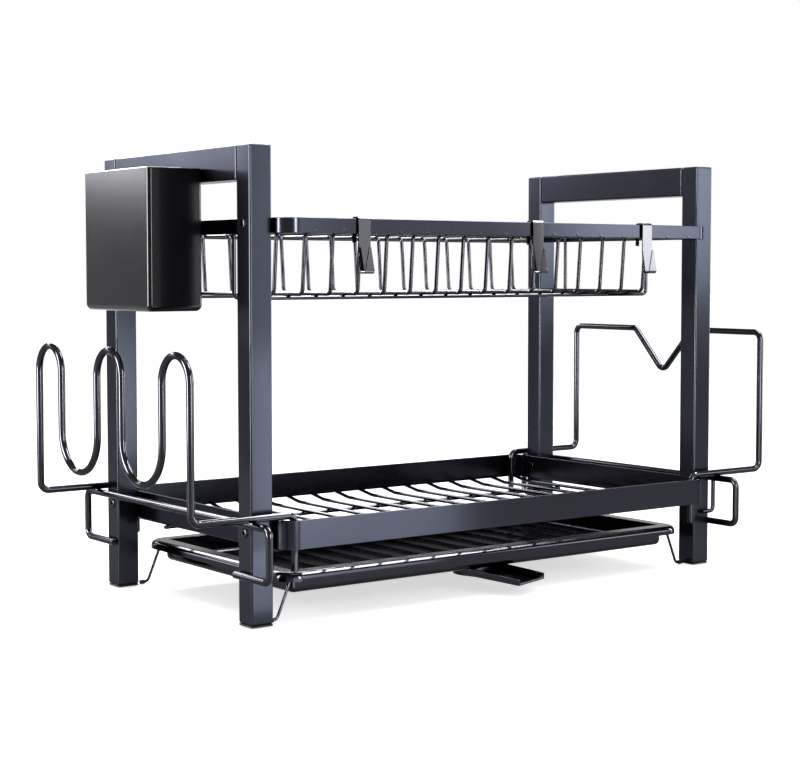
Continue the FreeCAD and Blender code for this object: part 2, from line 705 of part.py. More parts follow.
def make_hook(label, place):
    """Back tab, fold, front strap and turned-up tip, cut narrow at both ends."""
    sheet_half = size("hook_sheet") / 2
    rim_front = -rim_half_depth
    rim_back = rim_front + size("rim_sheet")
    tab = rim_back + size("hook_back_room") + sheet_half
    front = rim_front - size("hook_stand_off") - sheet_half
    top = upper_rim_top + size("seat_gap") + sheet_half
    foot = upper_rim_top - size("hook_drop") + sheet_half
    lip = front - size("hook_lip_reach")
    path = [
        Vector(tab, upper_rim_top - size("hook_tab_drop"), 0),
        Vector(tab, top, 0),
        Vector(front, top, 0),
        Vector(front, foot, 0),
        Vector(lip, foot, 0),
        Vector(lip, foot + size("hook_lip_height"), 0),
    ]
    side_view = doc.addObject("Part::Feature", label + "_side")
    side_view.Shape = strap_outline(path, [size("hook_bend")] * 4, size("hook_sheet"))
    side_view.Placement = Placement(Vector(place, 0, 0), Rotation(Y_AXIS, Z_AXIS, X_AXIS, "XYZ"))
    strap = doc.addObject("Part::Extrusion", label + "_strap")
    strap.Base = side_view
    strap.DirMode = "Custom"
    strap.Dir = X_AXIS
    strap.setExpression("LengthFwd", "Sizes.hook_width / 2")
    strap.setExpression("LengthRev", "Sizes.hook_width / 2")
    strap.Solid = True
    tapers = [taper_waste(label, place, hand, front, foot) for hand in (-1, 1)]
    points = [point_waste(label, place, hand, lip, foot) for hand in (-1, 1)]
    tools = group(label + "_waste", [tongue_waste(label, place, tab)] + tapers)
    strap = cut(label + "_tapered", strap, tools)
    tools = group(label + "_tip_waste", points)
    return keep(cut(label, strap, tools), label)


def tongue_waste(label, place, tab):
    """What is cut away beside a hook's back tongue."""
    tongue_edge = place - size("hook_width") / 2 + size("hook_tab_width")
    under = upper_rim_top - size("hook_tab_drop") - size("hook_sheet")
    waste = doc.addObject("Part::Box", label + "_beside_tongue")
    waste.setExpression("Length", "Sizes.hook_width")
    waste.setExpression("Width", "2 * Sizes.hook_sheet")
    waste.setExpression("Height", "Sizes.hook_tab_drop - Sizes.hook_back_drop + Sizes.hook_sheet")
    waste.Placement.Base = Vector(tongue_edge, tab - size("hook_sheet"), under)
    return waste


def taper_waste(label, place, hand, front, foot):
    """What is cut away at one side of a hook's tapered front."""
    taper_top = foot + size("hook_taper")
    tip = size("hook_tip_width") / 2
    edge = size("hook_width") / 2 + size("hook_sheet")
    below = foot - size("hook_sheet")
    view = doc.addObject("Part::Polygon", "%s_taper_view_%d" % (label, hand))
    view.Nodes = [
        Vector(place + hand * size("hook_width") / 2, 0, taper_top),
        Vector(place + hand * tip, 0, foot),
        Vector(place + hand * tip, 0, below),
        Vector(place + hand * edge, 0, below),
        Vector(place + hand * edge, 0, taper_top),
    ]
    view.Close = True
    taper = doc.addObject("Part::Extrusion", "%s_taper_%d" % (label, hand))
    taper.Base = view
    taper.DirMode = "Custom"
    taper.Dir = Y_AXIS
    taper.setExpression("LengthRev", "Sizes.hook_lip_reach + 2 * Sizes.hook_sheet")
    taper.Solid = True
    taper.Placement.Base = Vector(0, front + size("hook_sheet"), 0)
    return taper


def point_waste(label, place, hand, lip, foot):
    """What is cut away at one side of a hook's pointed tip."""
    start = size("hook_tip_width") / 2
    point = size("hook_point") / 2
    edge = size("hook_width") / 2 + size("hook_sheet")
    bend = foot + size("hook_bend")
    tip = foot + size("hook_lip_height")
    view = doc.addObject("Part::Polygon", "%s_point_view_%d" % (label, hand))
    view.Nodes = [
        Vector(place + hand * start, 0, bend),
        Vector(place + hand * point, 0, tip),
        Vector(place + hand * point, 0, tip + size("hook_sheet")),
        Vector(place + hand * edge, 0, tip + size("hook_sheet")),
        Vector(place + hand * edge, 0, bend),
    ]
    view.Close = True
    waste = doc.addObject("Part::Extrusion", "%s_point_%d" % (label, hand))
    waste.Base = view
    waste.DirMode = "Custom"
    waste.Dir = Y_AXIS
    waste.setExpression("LengthFwd", "Sizes.hook_sheet")
    waste.setExpression("LengthRev", "Sizes.hook_sheet")
    waste.Solid = True
    waste.Placement.Base = Vector(0, lip, 0)
    return waste


make_hook("hook_left", size("hook_left_place"))
make_hook("hook_middle", size("hook_middle_place"))
make_hook("hook_right", size("hook_right_place"))


# Cutlery caddy on a hanger over the rim's left side

caddy_top = upper_rim_top + size("caddy_hang")
caddy_bottom = caddy_top - size("caddy_height")
caddy_back = -half_length - size("caddy_gap")
caddy_middle = caddy_back - size("caddy_depth") / 2


def make_caddy(label):
    caddy = new_body(label, Vector(caddy_middle, size("caddy_offset"), caddy_bottom))
    outside = on_plane(caddy, label + "_outside", "XY_Plane")
    rectangle(outside, "Sizes.caddy_depth", "Sizes.caddy_width")
    pad(caddy, outside, "Sizes.caddy_height")
    round_edges(caddy, label + "_front_corners", lambda edge: upright(edge) and edge.CenterOfMass.x < 0,
                "Sizes.caddy_corner")
    back = size("caddy_depth") / 2
    round_edges(caddy, label + "_back_corners", lambda edge: upright(edge)
                and abs(edge.CenterOfMass.x - back) < 1e-3, "Sizes.caddy_back_corner")
    round_edges(caddy, label + "_foot", lambda edge: level(edge, 0), "Sizes.caddy_foot_round")
    inside = on_plane(caddy, label + "_inside", "XY_Plane", size("caddy_height"))
    thin = " - 2 * Sizes.caddy_wall"
    corner = "Sizes.caddy_back_corner - Sizes.caddy_wall"
    rounded(inside, "Sizes.caddy_depth" + thin, "Sizes.caddy_width" + thin, corner)
    pocket(caddy, inside, "Sizes.caddy_height - Sizes.caddy_wall")
    floor_round = "Sizes.caddy_foot_round - Sizes.caddy_wall"
    round_edges(caddy, label + "_floor", lambda edge: level(edge, size("caddy_wall")), floor_round)
    slots = on_plane(caddy, label + "_slots", "XY_Plane", 2 * size("caddy_wall"))
    for y in spread(int(size("drain_slot_count")), size("drain_slot_pitch")):
        rectangle(slots, "Sizes.drain_slot_length", "Sizes.drain_slot_width", 0.0, y)
    pocket(caddy, slots, "4 * Sizes.caddy_wall")
    add_hanger(caddy, label)
    return keep(caddy, label)


def add_hanger(caddy, label):
    """An arm from the back wall over the rim, with a tongue behind it."""
    seat = upper_rim_top + size("seat_gap") - caddy_bottom
    arm_start = size("caddy_depth") / 2 - size("caddy_wall") / 2
    rim_inner = -rim_half_length + size("rim_sheet") + size("seat_gap") - caddy_middle
    arm_end = rim_inner + size("hanger_sheet")
    tongue_foot = upper_rim_top - size("hanger_drop") - caddy_bottom
    arm_top = seat + size("hanger_sheet")
    side_view = on_plane(caddy, label + "_hanger", "XZ_Plane")
    outline(side_view, (
        (arm_start, seat),
        (rim_inner, seat),
        (rim_inner, tongue_foot),
        (arm_end, tongue_foot),
        (arm_end, arm_top),
        (arm_start, arm_top),
    ))
    pad(caddy, side_view, "Sizes.hanger_width", middle=True)


make_caddy("cutlery_caddy")


# Cup and board holders: bent wires hung over the lower rim's ends

run_height = size("lower_rim_top") + size("seat_gap") + size("holder_wire") / 2
loop_plane = half_length + size("holder_reach")
run_place = half_depth + size("holder_run")
hook_place = half_length - size("holder_inside")
hook_bend = size("holder_bend") - 1.0


def holder_arm(side, y):
    """Hook inside the rim, then the arm out past the leg."""
    return [
        Vector(side * hook_place, y, size("holder_hook_end")),
        Vector(side * hook_place, y, run_height),
        Vector(side * loop_plane, y, run_height),
    ]


def make_cup_holder(label):
    """Three tall loops with two valleys between them."""
    loop = size("cup_loop")
    valley = (2 * run_place - 3 * loop) / 2
    places = [-run_place]
    for width in (loop, valley, loop, valley, loop):
        places.append(places[-1] + width)
    top = size("cup_top")
    low = size("cup_valley")
    levels = (top, top, low, low, top, top, low, low, top, top)
    turns = [places[0], places[1], places[1], places[2], places[2], places[3], places[3], places[4],
             places[4], places[5]]
    points = holder_arm(-1, -run_place)
    points += [Vector(-loop_plane, y, z) for y, z in zip(turns, levels)]
    points += holder_arm(-1, run_place)[::-1]
    corner = size("holder_bend")
    radii = [hook_bend, corner]
    radii += [loop / 2, loop / 2, valley / 2, valley / 2, loop / 2, loop / 2, valley / 2, valley / 2,
              loop / 2, loop / 2]
    radii += [corner, hook_bend]
    return keep(bent_wire(label, points, radii, "holder_wire"), label)


def make_board_holder(label):
    """A tall frame with a notch in the middle of its top."""
    top = size("board_top")
    half_notch = size("board_notch_width") / 2
    points = holder_arm(1, -run_place)
    points += [
        Vector(loop_plane, -run_place, top),
        Vector(loop_plane, -half_notch, top),
        Vector(loop_plane, 0, top - size("board_notch_depth")),
        Vector(loop_plane, half_notch, top),
        Vector(loop_plane, run_place, top),
    ]
    points += holder_arm(1, run_place)[::-1]
    corner = size("holder_bend")
    radii = [hook_bend, corner, corner, corner, corner, corner, corner, corner, hook_bend]
    return keep(bent_wire(label, points, radii, "holder_wire"), label)


def make_brace(label, side):
    """A bar along the legs' outer faces, its ends turned down and back."""
    x = side * (half_length + size("seat_gap") + size("holder_wire") / 2)
    top = run_height - size("holder_wire") + size("weld_depth")
    reach = half_depth + size("brace_reach")
    end = half_depth - size("brace_return")
    foot = size("brace_foot")
    points = [
        Vector(x, -end, foot),
        Vector(x, -reach, foot),
        Vector(x, -reach, top),
        Vector(x, reach, top),
        Vector(x, reach, foot),
        Vector(x, end, foot),
    ]
    return keep(bent_wire(label, points, [size("brace_bend")] * 4, "holder_wire"), label)


def make_stop(label):
    """A short wire under the brace, turned in across the right front leg."""
    x = half_length + size("seat_gap") + size("holder_wire") / 2
    y = -half_depth - size("seat_gap") - size("stop_wire") / 2
    top = run_height - 1.5 * size("holder_wire") + 2 * size("weld_depth")
    points = [
        Vector(x, y, top),
        Vector(x, y, size("stop_foot")),
        Vector(x - size("stop_length"), y, size("stop_foot")),
    ]
    return keep(bent_wire(label, points, [size("stop_wire")], "stop_wire"), label)


make_cup_holder("cup_holder_loops")
make_brace("cup_holder_brace", -1)
make_board_holder("board_holder_frame")
make_brace("board_holder_brace", 1)
make_stop("board_holder_stop")


# Drip tray with a flanged rim, floor ribs and a drain

tray_middle = -half_depth + size("tray_front") + size("tray_depth") / 2
tray_bottom = size("tray_top") - size("tray_height")
drain_y = -half_depth + size("tray_front") + size("drain_place")


def make_tray(label):
    tray = new_body(label, Vector(0, tray_middle, tray_bottom))
    lip_height = size("tray_height") - size("tray_lip")
    rim = on_plane(tray, label + "_rim", "XY_Plane", lip_height)
    rounded(rim, "Sizes.tray_width", "Sizes.tray_depth", "Sizes.tray_corner")
    pad(tray, rim, "Sizes.tray_lip")
    round_edges(tray, label + "_edge", lambda edge: level(edge, size("tray_height")), "Sizes.tray_edge")
    under = on_plane(tray, label + "_under", "XY_Plane", lip_height)
    thin = " - 2 * Sizes.tray_wall"
    inner_corner = "Sizes.tray_corner - Sizes.tray_wall"
    rounded(under, "Sizes.tray_width" + thin, "Sizes.tray_depth" + thin, inner_corner)
    pocket(tray, under, "Sizes.tray_lip - Sizes.tray_wall", backwards=True)
    ceiling = size("tray_height") - size("tray_wall")
    inner_edge = "Sizes.tray_edge - Sizes.tray_wall"
    round_edges(tray, label + "_under_edge", lambda edge: level(edge, ceiling), inner_edge)
    basin = on_plane(tray, label + "_basin", "XY_Plane")
    wide = "Sizes.tray_width - 2 * Sizes.tray_flange"
    deep = "Sizes.tray_depth - 2 * Sizes.tray_flange"
    corner = "Sizes.tray_corner - Sizes.tray_flange"
    rounded(basin, wide, deep, corner)
    pad(tray, basin, "Sizes.tray_height - Sizes.tray_wall / 2")
    round_edges(tray, label + "_foot", lambda edge: level(edge, 0), "Sizes.tray_floor_round")
    inside = on_plane(tray, label + "_inside", "XY_Plane", size("tray_height"))
    rounded(inside, wide + thin, deep + thin, corner + " - Sizes.tray_wall")
    pocket(tray, inside, "Sizes.tray_height - Sizes.tray_wall")
    floor_round = "Sizes.tray_floor_round - Sizes.tray_wall"
    round_edges(tray, label + "_floor", lambda edge: level(edge, size("tray_wall")), floor_round)
    add_ribs(tray, label)
    add_nozzle(tray, label)
    return keep(tray, label)


def add_ribs(tray, label):
    """Raised ribs from front to back, with a gap for the drain."""
    ribs = on_plane(tray, label + "_ribs", "XY_Plane", size("tray_wall"))
    length = "Sizes.tray_depth - 2 * Sizes.tray_flange - 2 * Sizes.tray_wall - 2 * Sizes.tray_rib_end"
    short = length + " - Sizes.drain_place"
    drain_clear = size("drain_bore") / 2 + size("tray_rib_width")
    for x in spread(int(size("tray_rib_count")), size("tray_rib_pitch")):
        if abs(x) < drain_clear:
            rectangle(ribs, "Sizes.tray_rib_width", short, x, size("drain_place") / 2)
        else:
            rectangle(ribs, "Sizes.tray_rib_width", length, x, 0.0)
    pad(tray, ribs, "Sizes.tray_rib_height")


def add_nozzle(tray, label):
    """A short pipe under the drain, with a snap lip that carries the spout."""
    local_y = drain_y - tray_middle
    nozzle = on_plane(tray, label + "_nozzle", "XY_Plane")
    circle(nozzle, "Sizes.drain_bore + 2 * Sizes.drain_wall", 0.0, local_y)
    pad(tray, nozzle, "Sizes.drain_deck + 2 * Sizes.seat_gap + Sizes.drain_lip", backwards=True)
    lip = on_plane(tray, label + "_snap", "XY_Plane", -size("drain_deck") - 2 * size("seat_gap"))
    circle(lip, "Sizes.drain_bore + 2 * Sizes.drain_wall + 2 * Sizes.drain_lip", 0.0, local_y)
    pad(tray, lip, "Sizes.drain_lip", backwards=True)
    bore = on_plane(tray, label + "_drain", "XY_Plane")
    circle(bore, "Sizes.drain_bore", 0.0, local_y)
    pocket(tray, bore)


make_tray("drip_tray")


# Drain spout: an open trough under a deck that turns on the nozzle

def make_spout(label):
    spout = new_body(label, Vector(0, drain_y, 0), size("spout_turn"))
    top = tray_bottom - size("seat_gap")
    floor = tray_bottom - size("spout_room")
    deck_end = size("drain_bore") / 2 + size("drain_wall") + 2 * size("drain_lip")
    length = size("spout_length")
    mouth = size("spout_mouth")
    wall = size("spout_wall")
    hub = on_plane(spout, label + "_hub", "XY_Plane", floor)
    circle(hub, "Sizes.spout_width")
    pad(spout, hub, "Sizes.spout_room - Sizes.seat_gap")
    trough = on_plane(spout, label + "_trough", "YZ_Plane")
    outline(trough, (
        (0.0, floor),
        (0.0, top),
        (-deck_end, top),
        (-length, mouth + size("spout_side")),
        (-length, mouth),
        (-deck_end, floor),
    ))
    pad(spout, trough, "Sizes.spout_width", middle=True)
    room = on_plane(spout, label + "_room", "XY_Plane", top - size("drain_deck"))
    circle(room, "Sizes.spout_width - 2 * Sizes.spout_wall")
    pocket(spout, room, "Sizes.spout_room - Sizes.seat_gap - Sizes.drain_deck - Sizes.spout_wall")
    channel = on_plane(spout, label + "_channel", "YZ_Plane")
    fall = (floor - mouth) / (length - deck_end)
    outline(channel, (
        (0.0, floor + wall),
        (0.0, top - size("drain_deck")),
        (-deck_end, top - size("drain_deck")),
        (-deck_end, top + wall),
        (-length - wall, top + wall),
        (-length - wall, mouth + wall - fall * wall),
        (-deck_end, floor + wall),
    ))
    pocket(spout, channel, "Sizes.spout_width - 2 * Sizes.spout_wall", middle=True)
    ring = on_plane(spout, label + "_ring", "XY_Plane", top)
    circle(ring, "Sizes.drain_bore + 2 * Sizes.drain_wall + 2 * Sizes.seat_gap")
    pocket(spout, ring, "Sizes.drain_deck")
    return keep(spout, label)


make_spout("drain_spout")


# Tray feet: a bent wire along each short side, with sleeves on its tips

foot_radius = size("foot_wire") / 2
sleeve_radius = foot_radius + size("sleeve_wall")
foot_y = size("tray_depth") / 2 - size("foot_inset")
foot_top = size("tray_top") - size("tray_wall") - size("seat_gap") - foot_radius
foot_x = size("tray_width") / 2 - size("foot_side")
foot_reach = rim_half_length - size("foot_leg_gap") - size("sleeve_wall")


def foot_points(side):
    """One wire: tip, splayed leg, run under the flange, splayed leg, tip."""
    knee = side * foot_x
    ankle = side * (foot_reach - size("foot_tip"))
    tip = side * foot_reach
    return [
        Vector(tip, tray_middle - foot_y, sleeve_radius),
        Vector(ankle, tray_middle - foot_y, sleeve_radius),
        Vector(knee, tray_middle - foot_y, foot_top),
        Vector(knee, tray_middle + foot_y, foot_top),
        Vector(ankle, tray_middle + foot_y, sleeve_radius),
        Vector(tip, tray_middle + foot_y, sleeve_radius),
    ]


def make_foot(label, side):
    bend = size("foot_bend")
    return keep(bent_wire(label, foot_points(side), [bend, bend, bend, bend], "foot_wire"), label)


def make_sleeve(name, tip, ankle):
    """A soft tube over the last of the tip, closed at its outer end."""
    inward = (ankle - tip).normalize()
    start = tip - inward * size("sleeve_wall")
    end = tip + inward * (size("foot_tip") / 2)
    tube_outside = doc.addObject("Part::Cylinder", name + "_outside")
    tube_outside.setExpression("Radius", "Sizes.foot_wire / 2 + Sizes.sleeve_wall")
    tube_outside.Height = (end - start).Length
    tube_outside.Placement = Placement(start, Rotation(Z_AXIS, inward))
    inside = rod(name + "_inside", "foot_wire", tip, end)
    return cut(name, tube_outside, inside)


make_foot("tray_foot_left", -1)
make_foot("tray_foot_right", 1)
sleeves = []
for side in (-1, 1):
    route = foot_points(side)
    sleeves.append(make_sleeve("sleeve_front_%d" % side, route[0], route[1]))
    sleeves.append(make_sleeve("sleeve_back_%d" % side, route[5], route[4]))
keep(group("tray_foot_sleeves", sleeves), "tray_foot_sleeves")


# Check and write

doc.recompute()
for item in doc.Objects:
    if "Invalid" in item.State or "Error" in item.State:
        raise RuntimeError("%s is %s" % (item.Label, item.State))
for part in parts:
    if part.Shape.isNull() or not part.Shape.isValid():
        raise RuntimeError(part.Label + " has no valid shape")

os.makedirs("parts", exist_ok=True)
for part in parts:
    part.Shape.exportStep(os.path.join("parts", part.Label + ".step"))
    print("%-22s solids %2d  volume %10.1f" % (part.Label, len(part.Shape.Solids), part.Shape.Volume))
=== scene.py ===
# %% [markdown]
# # A two-tier dish rack
#
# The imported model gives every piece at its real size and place. This script keeps those
# places and makes the pieces again with rounded edges, smooth wires and real finishes.
# Blender works in metres, so the sizes below are millimetres times MM.

import bmesh
import bpy
import math

from mathutils import Matrix, Vector


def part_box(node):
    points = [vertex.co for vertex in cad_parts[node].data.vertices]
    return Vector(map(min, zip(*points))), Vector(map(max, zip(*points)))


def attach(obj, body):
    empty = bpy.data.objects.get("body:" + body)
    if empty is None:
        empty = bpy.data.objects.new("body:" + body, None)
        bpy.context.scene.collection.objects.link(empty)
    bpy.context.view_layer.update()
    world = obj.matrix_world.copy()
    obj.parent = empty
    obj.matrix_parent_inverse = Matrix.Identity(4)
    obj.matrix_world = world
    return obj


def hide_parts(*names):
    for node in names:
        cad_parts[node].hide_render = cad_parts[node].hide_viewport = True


MM = 0.001
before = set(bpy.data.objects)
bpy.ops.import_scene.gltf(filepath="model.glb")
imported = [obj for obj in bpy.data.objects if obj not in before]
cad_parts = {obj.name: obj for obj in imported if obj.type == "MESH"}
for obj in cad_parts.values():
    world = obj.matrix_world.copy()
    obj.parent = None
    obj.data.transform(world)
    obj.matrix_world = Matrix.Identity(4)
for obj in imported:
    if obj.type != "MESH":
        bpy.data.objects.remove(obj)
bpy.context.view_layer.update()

# %% [markdown]
# ## The camera
#
# The photograph was taken from the left front corner, a little above the tabletop. A
# camera could be set by eye, but this one was fitted to the corners of the end frames, so
# that a measure in the picture is a measure on the rack. Four facts set it: its place,
# its heading, its tilt and the lens.

# %% Camera
CAMERA_PLACE = Vector((-958.54, -1251.54, 277.51)) * MM
CAMERA_HEADING = math.radians(36.8175)
CAMERA_TILT = math.radians(3.5518)
CAMERA_LENS = 77.80
FILM_WIDTH = 36.0

camera = bpy.data.objects.new("camera", bpy.data.cameras.new("camera"))
bpy.context.scene.collection.objects.link(camera)
camera.location = CAMERA_PLACE
camera.rotation_euler = (math.pi / 2 - CAMERA_TILT, 0.0, -CAMERA_HEADING)
camera.data.lens = CAMERA_LENS
camera.data.sensor_width = FILM_WIDTH
camera.data.clip_start = 0.05
camera.data.clip_end = 60.0
bpy.context.scene.camera = camera
bpy.context.scene.view_settings.view_transform = "Standard"
print("camera", round(CAMERA_PLACE.length, 2), "m from the middle of the rack")

# %% [markdown]
# ## Floor, world and lamps
#
# Black metal shows what it reflects more than its own colour, so the room matters here.
# The background is white for the camera, for reflections and through clear things, and
# two lamps give plain light. All else shows in reflections alone. Each panel stands where
# one flat face mirrors it: the left legs' fronts, the lower rim, the middle and the right
# of the upper rim, and, far behind, the outer side of the left end frame. The strips draw
# thin lines of light on round edges and wires.


# %% World
def seen_ray(nodes, links, path):
    """One for a ray that shows the background: direct, mirrored or through clear things."""
    result = path.outputs["Is Camera Ray"]
    for kind in ("Is Glossy Ray", "Is Transmission Ray"):
        either = nodes.new("ShaderNodeMath")
        either.operation = "MAXIMUM"
        links.new(result, either.inputs[0])
        links.new(path.outputs[kind], either.inputs[1])
        result = either.outputs[0]
    return result


DAYLIGHT = (0.93, 0.96, 1.0)
SKY_LIGHT = 0.5
world = bpy.data.worlds.new("studio")
bpy.context.scene.world = world
world.use_nodes = True
world_nodes = world.node_tree.nodes
world_links = world.node_tree.links
world_nodes.clear()
world_out = world_nodes.new("ShaderNodeOutputWorld")
world_mix = world_nodes.new("ShaderNodeMixShader")
world_light = world_nodes.new("ShaderNodeBackground")
world_light.inputs["Color"].default_value = (*DAYLIGHT, 1.0)
world_light.inputs["Strength"].default_value = SKY_LIGHT
world_seen = world_nodes.new("ShaderNodeBackground")
world_seen.inputs["Color"].default_value = (1.0, 1.0, 1.0, 1.0)
world_seen.inputs["Strength"].default_value = 1.0
world_path = world_nodes.new("ShaderNodeLightPath")
world_links.new(seen_ray(world_nodes, world_links, world_path), world_mix.inputs["Fac"])
world_links.new(world_light.outputs[0], world_mix.inputs[1])
world_links.new(world_seen.outputs[0], world_mix.inputs[2])
world_links.new(world_mix.outputs[0], world_out.inputs["Surface"])


# %% Lamps
def lamp(name, place, target, wide, tall, radiance, color=(1.0, 1.0, 1.0)):
    """A flat lamp at a place, turned to a target, as bright as its radiance says."""
    data = bpy.data.lights.new(name, "AREA")
    data.shape = "RECTANGLE"
    data.size = wide
    data.size_y = tall
    data.energy = radiance * math.pi * wide * tall
    data.color = color
    light = bpy.data.objects.new(name, data)
    bpy.context.scene.collection.objects.link(light)
    light.location = place
    direction = Vector(target) - Vector(place)
    light.rotation_euler = direction.to_track_quat("-Z", "Y").to_euler()
    return light


def mirrored(name, place, target, wide, tall, radiance, color=(1.0, 1.0, 1.0)):
    """A panel that shows in reflections alone, so that it adds nothing to the light level."""
    panel = lamp(name, place, target, wide, tall, radiance, color)
    panel.visible_diffuse = False
    panel.visible_camera = False


# %% The lamps in their places
COOL = (0.90, 0.95, 1.0)
BLUISH = (0.92, 0.93, 1.0)
STRIP = 90.0
RACK = (0.0, 0.0, 0.2)

lamp("lamp_above", (0.0, -0.2, 1.8), RACK, 1.2, 0.8, 3.5)
lamp("lamp_front", (0.5, -2.0, 1.0), RACK, 0.9, 0.6, 3.0)

# Panels that face the rack squarely: name, place, width, height, radiance and colour.
for name, place, wide, tall, radiance, color in (
        ("panel_left_tall", (0.065, -0.6, 0.26), 0.09, 0.50, 6.5, COOL),
        ("panel_left_low", (0.0, -0.36, 0.10), 0.23, 0.20, 7.5, COOL),
        ("panel_left_foot", (-0.217, -0.165, 0.027), 0.05, 0.05, 6.5, COOL),
        ("panel_middle", (0.57, -1.03, 0.45), 0.34, 0.38, 3.0, COOL),
        ("panel_right", (1.11, -1.03, 0.45), 0.52, 0.38, 18.5, COOL),
        ("panel_behind", (-2.52, 4.0, 1.02), 0.80, 0.84, 23.0, BLUISH)):
    mirrored(name, place, (place[0], 0.0, place[2]), wide, tall, radiance, color)

mirrored("strip_above", (0.95, -0.1, 1.55), RACK, 1.4, 0.55, STRIP)
mirrored("strip_behind", (0.1, 1.8, 1.15), (0.0, 0.0, 0.1), 2.4, 0.34, 50.0)
mirrored("strip_left", (-1.7, 0.4, 0.5), (-0.2, 0.0, 0.3), 0.6, 1.2, STRIP)
mirrored("strip_near", (-0.1, -1.8, 0.5), (-0.1, 0.0, 0.3), 0.25, 1.2, STRIP)
mirrored("strip_right", (1.7, -0.6, 0.5), (0.2, 0.0, 0.3), 0.25, 1.2, STRIP)
print("lamps", len(bpy.data.lights))

# %% [markdown]
# The floor is one large pale plane. It takes the rack's shadow, and it glows a little for
# the camera and for reflections, so that it melts into the white background.

# %% Floor
FLOOR_GLOW = 0.62
FLOOR_COLOUR = (0.86, 0.86, 0.87)
FLOOR_SIZE = 30.0
BELOW_TABLE = -0.4 * MM


def new_floor():
    bpy.ops.object.select_all(action="DESELECT")
    bpy.ops.mesh.primitive_plane_add(size=FLOOR_SIZE, location=(0.0, 0.0, BELOW_TABLE))
    floor = bpy.context.object
    floor.name = "floor"
    paint = bpy.data.materials.new("pale_floor")
    paint.use_nodes = True
    shader = paint.node_tree.nodes["Principled BSDF"]
    shader.inputs["Base Color"].default_value = (*FLOOR_COLOUR, 1.0)
    shader.inputs["Roughness"].default_value = 0.7
    shader.inputs["Emission Color"].default_value = (1.0, 1.0, 1.0, 1.0)
    path = paint.node_tree.nodes.new("ShaderNodeLightPath")
    glow = paint.node_tree.nodes.new("ShaderNodeMath")
    glow.operation = "MULTIPLY"
    glow.inputs[1].default_value = FLOOR_GLOW
    links = paint.node_tree.links
    links.new(seen_ray(paint.node_tree.nodes, links, path), glow.inputs[0])
    links.new(glow.outputs[0], shader.inputs["Emission Strength"])
    floor.data.materials.append(paint)


new_floor()
print("floor", FLOOR_SIZE, "m wide")

# %% [markdown]
# ## Finishes
#
# Every finish here starts from one node group. It breaks up a plain colour with two
# noises: a broad one for slight unevenness and a fine one for the grain of the coating.
# It puts out a colour, a roughness and a height. The shader stays in the material.


# %% The shared finish group
def make_finish_group():
    group = bpy.data.node_groups.new("coated_surface", "ShaderNodeTree")
    sockets = group.interface

    def socket(name, kind, value, direction="INPUT"):
        made = sockets.new_socket(name=name, in_out=direction, socket_type=kind)
        if direction == "INPUT":
            made.default_value = value

    socket("Base", "NodeSocketColor", (0.02, 0.02, 0.03, 1.0))
    socket("Shade", "NodeSocketColor", (0.01, 0.01, 0.02, 1.0))
    socket("Grain Scale", "NodeSocketFloat", 900.0)
    socket("Patch Scale", "NodeSocketFloat", 18.0)
    socket("Rough Low", "NodeSocketFloat", 0.25)
    socket("Rough High", "NodeSocketFloat", 0.35)
    socket("Color", "NodeSocketColor", None, "OUTPUT")
    socket("Roughness", "NodeSocketFloat", None, "OUTPUT")
    socket("Height", "NodeSocketFloat", None, "OUTPUT")

    nodes = group.nodes
    links = group.links
    given = nodes.new("NodeGroupInput")
    result = nodes.new("NodeGroupOutput")
    place = nodes.new("ShaderNodeTexCoord")
    patch = nodes.new("ShaderNodeTexNoise")
    patch.inputs["Detail"].default_value = 3.0
    grain = nodes.new("ShaderNodeTexNoise")
    grain.inputs["Detail"].default_value = 2.0
    links.new(place.outputs["Object"], patch.inputs["Vector"])
    links.new(place.outputs["Object"], grain.inputs["Vector"])
    links.new(given.outputs["Patch Scale"], patch.inputs["Scale"])
    links.new(given.outputs["Grain Scale"], grain.inputs["Scale"])
    mix = nodes.new("ShaderNodeMix")
    mix.data_type = "RGBA"
    links.new(patch.outputs["Fac"], mix.inputs["Factor"])
    links.new(given.outputs["Base"], mix.inputs["A"])
    links.new(given.outputs["Shade"], mix.inputs["B"])
    links.new(mix.outputs["Result"], result.inputs["Color"])
    both = nodes.new("ShaderNodeMath")
    both.operation = "MULTIPLY_ADD"
    both.inputs[1].default_value = 0.5
    links.new(grain.outputs["Fac"], both.inputs[0])
    half_patch = nodes.new("ShaderNodeMath")
    half_patch.operation = "MULTIPLY"
    half_patch.inputs[1].default_value = 0.5
    links.new(patch.outputs["Fac"], half_patch.inputs[0])
    links.new(half_patch.outputs[0], both.inputs[2])
    rough = nodes.new("ShaderNodeMapRange")
    links.new(both.outputs[0], rough.inputs["Value"])
    rough.inputs["From Min"].default_value = 0.3
    rough.inputs["From Max"].default_value = 0.7
    links.new(given.outputs["Rough Low"], rough.inputs["To Min"])
    links.new(given.outputs["Rough High"], rough.inputs["To Max"])
    links.new(rough.outputs["Result"], result.inputs["Roughness"])
    links.new(grain.outputs["Fac"], result.inputs["Height"])
    return group


finish_group = make_finish_group()
GRAIN_DEPTH = 0.1 * MM


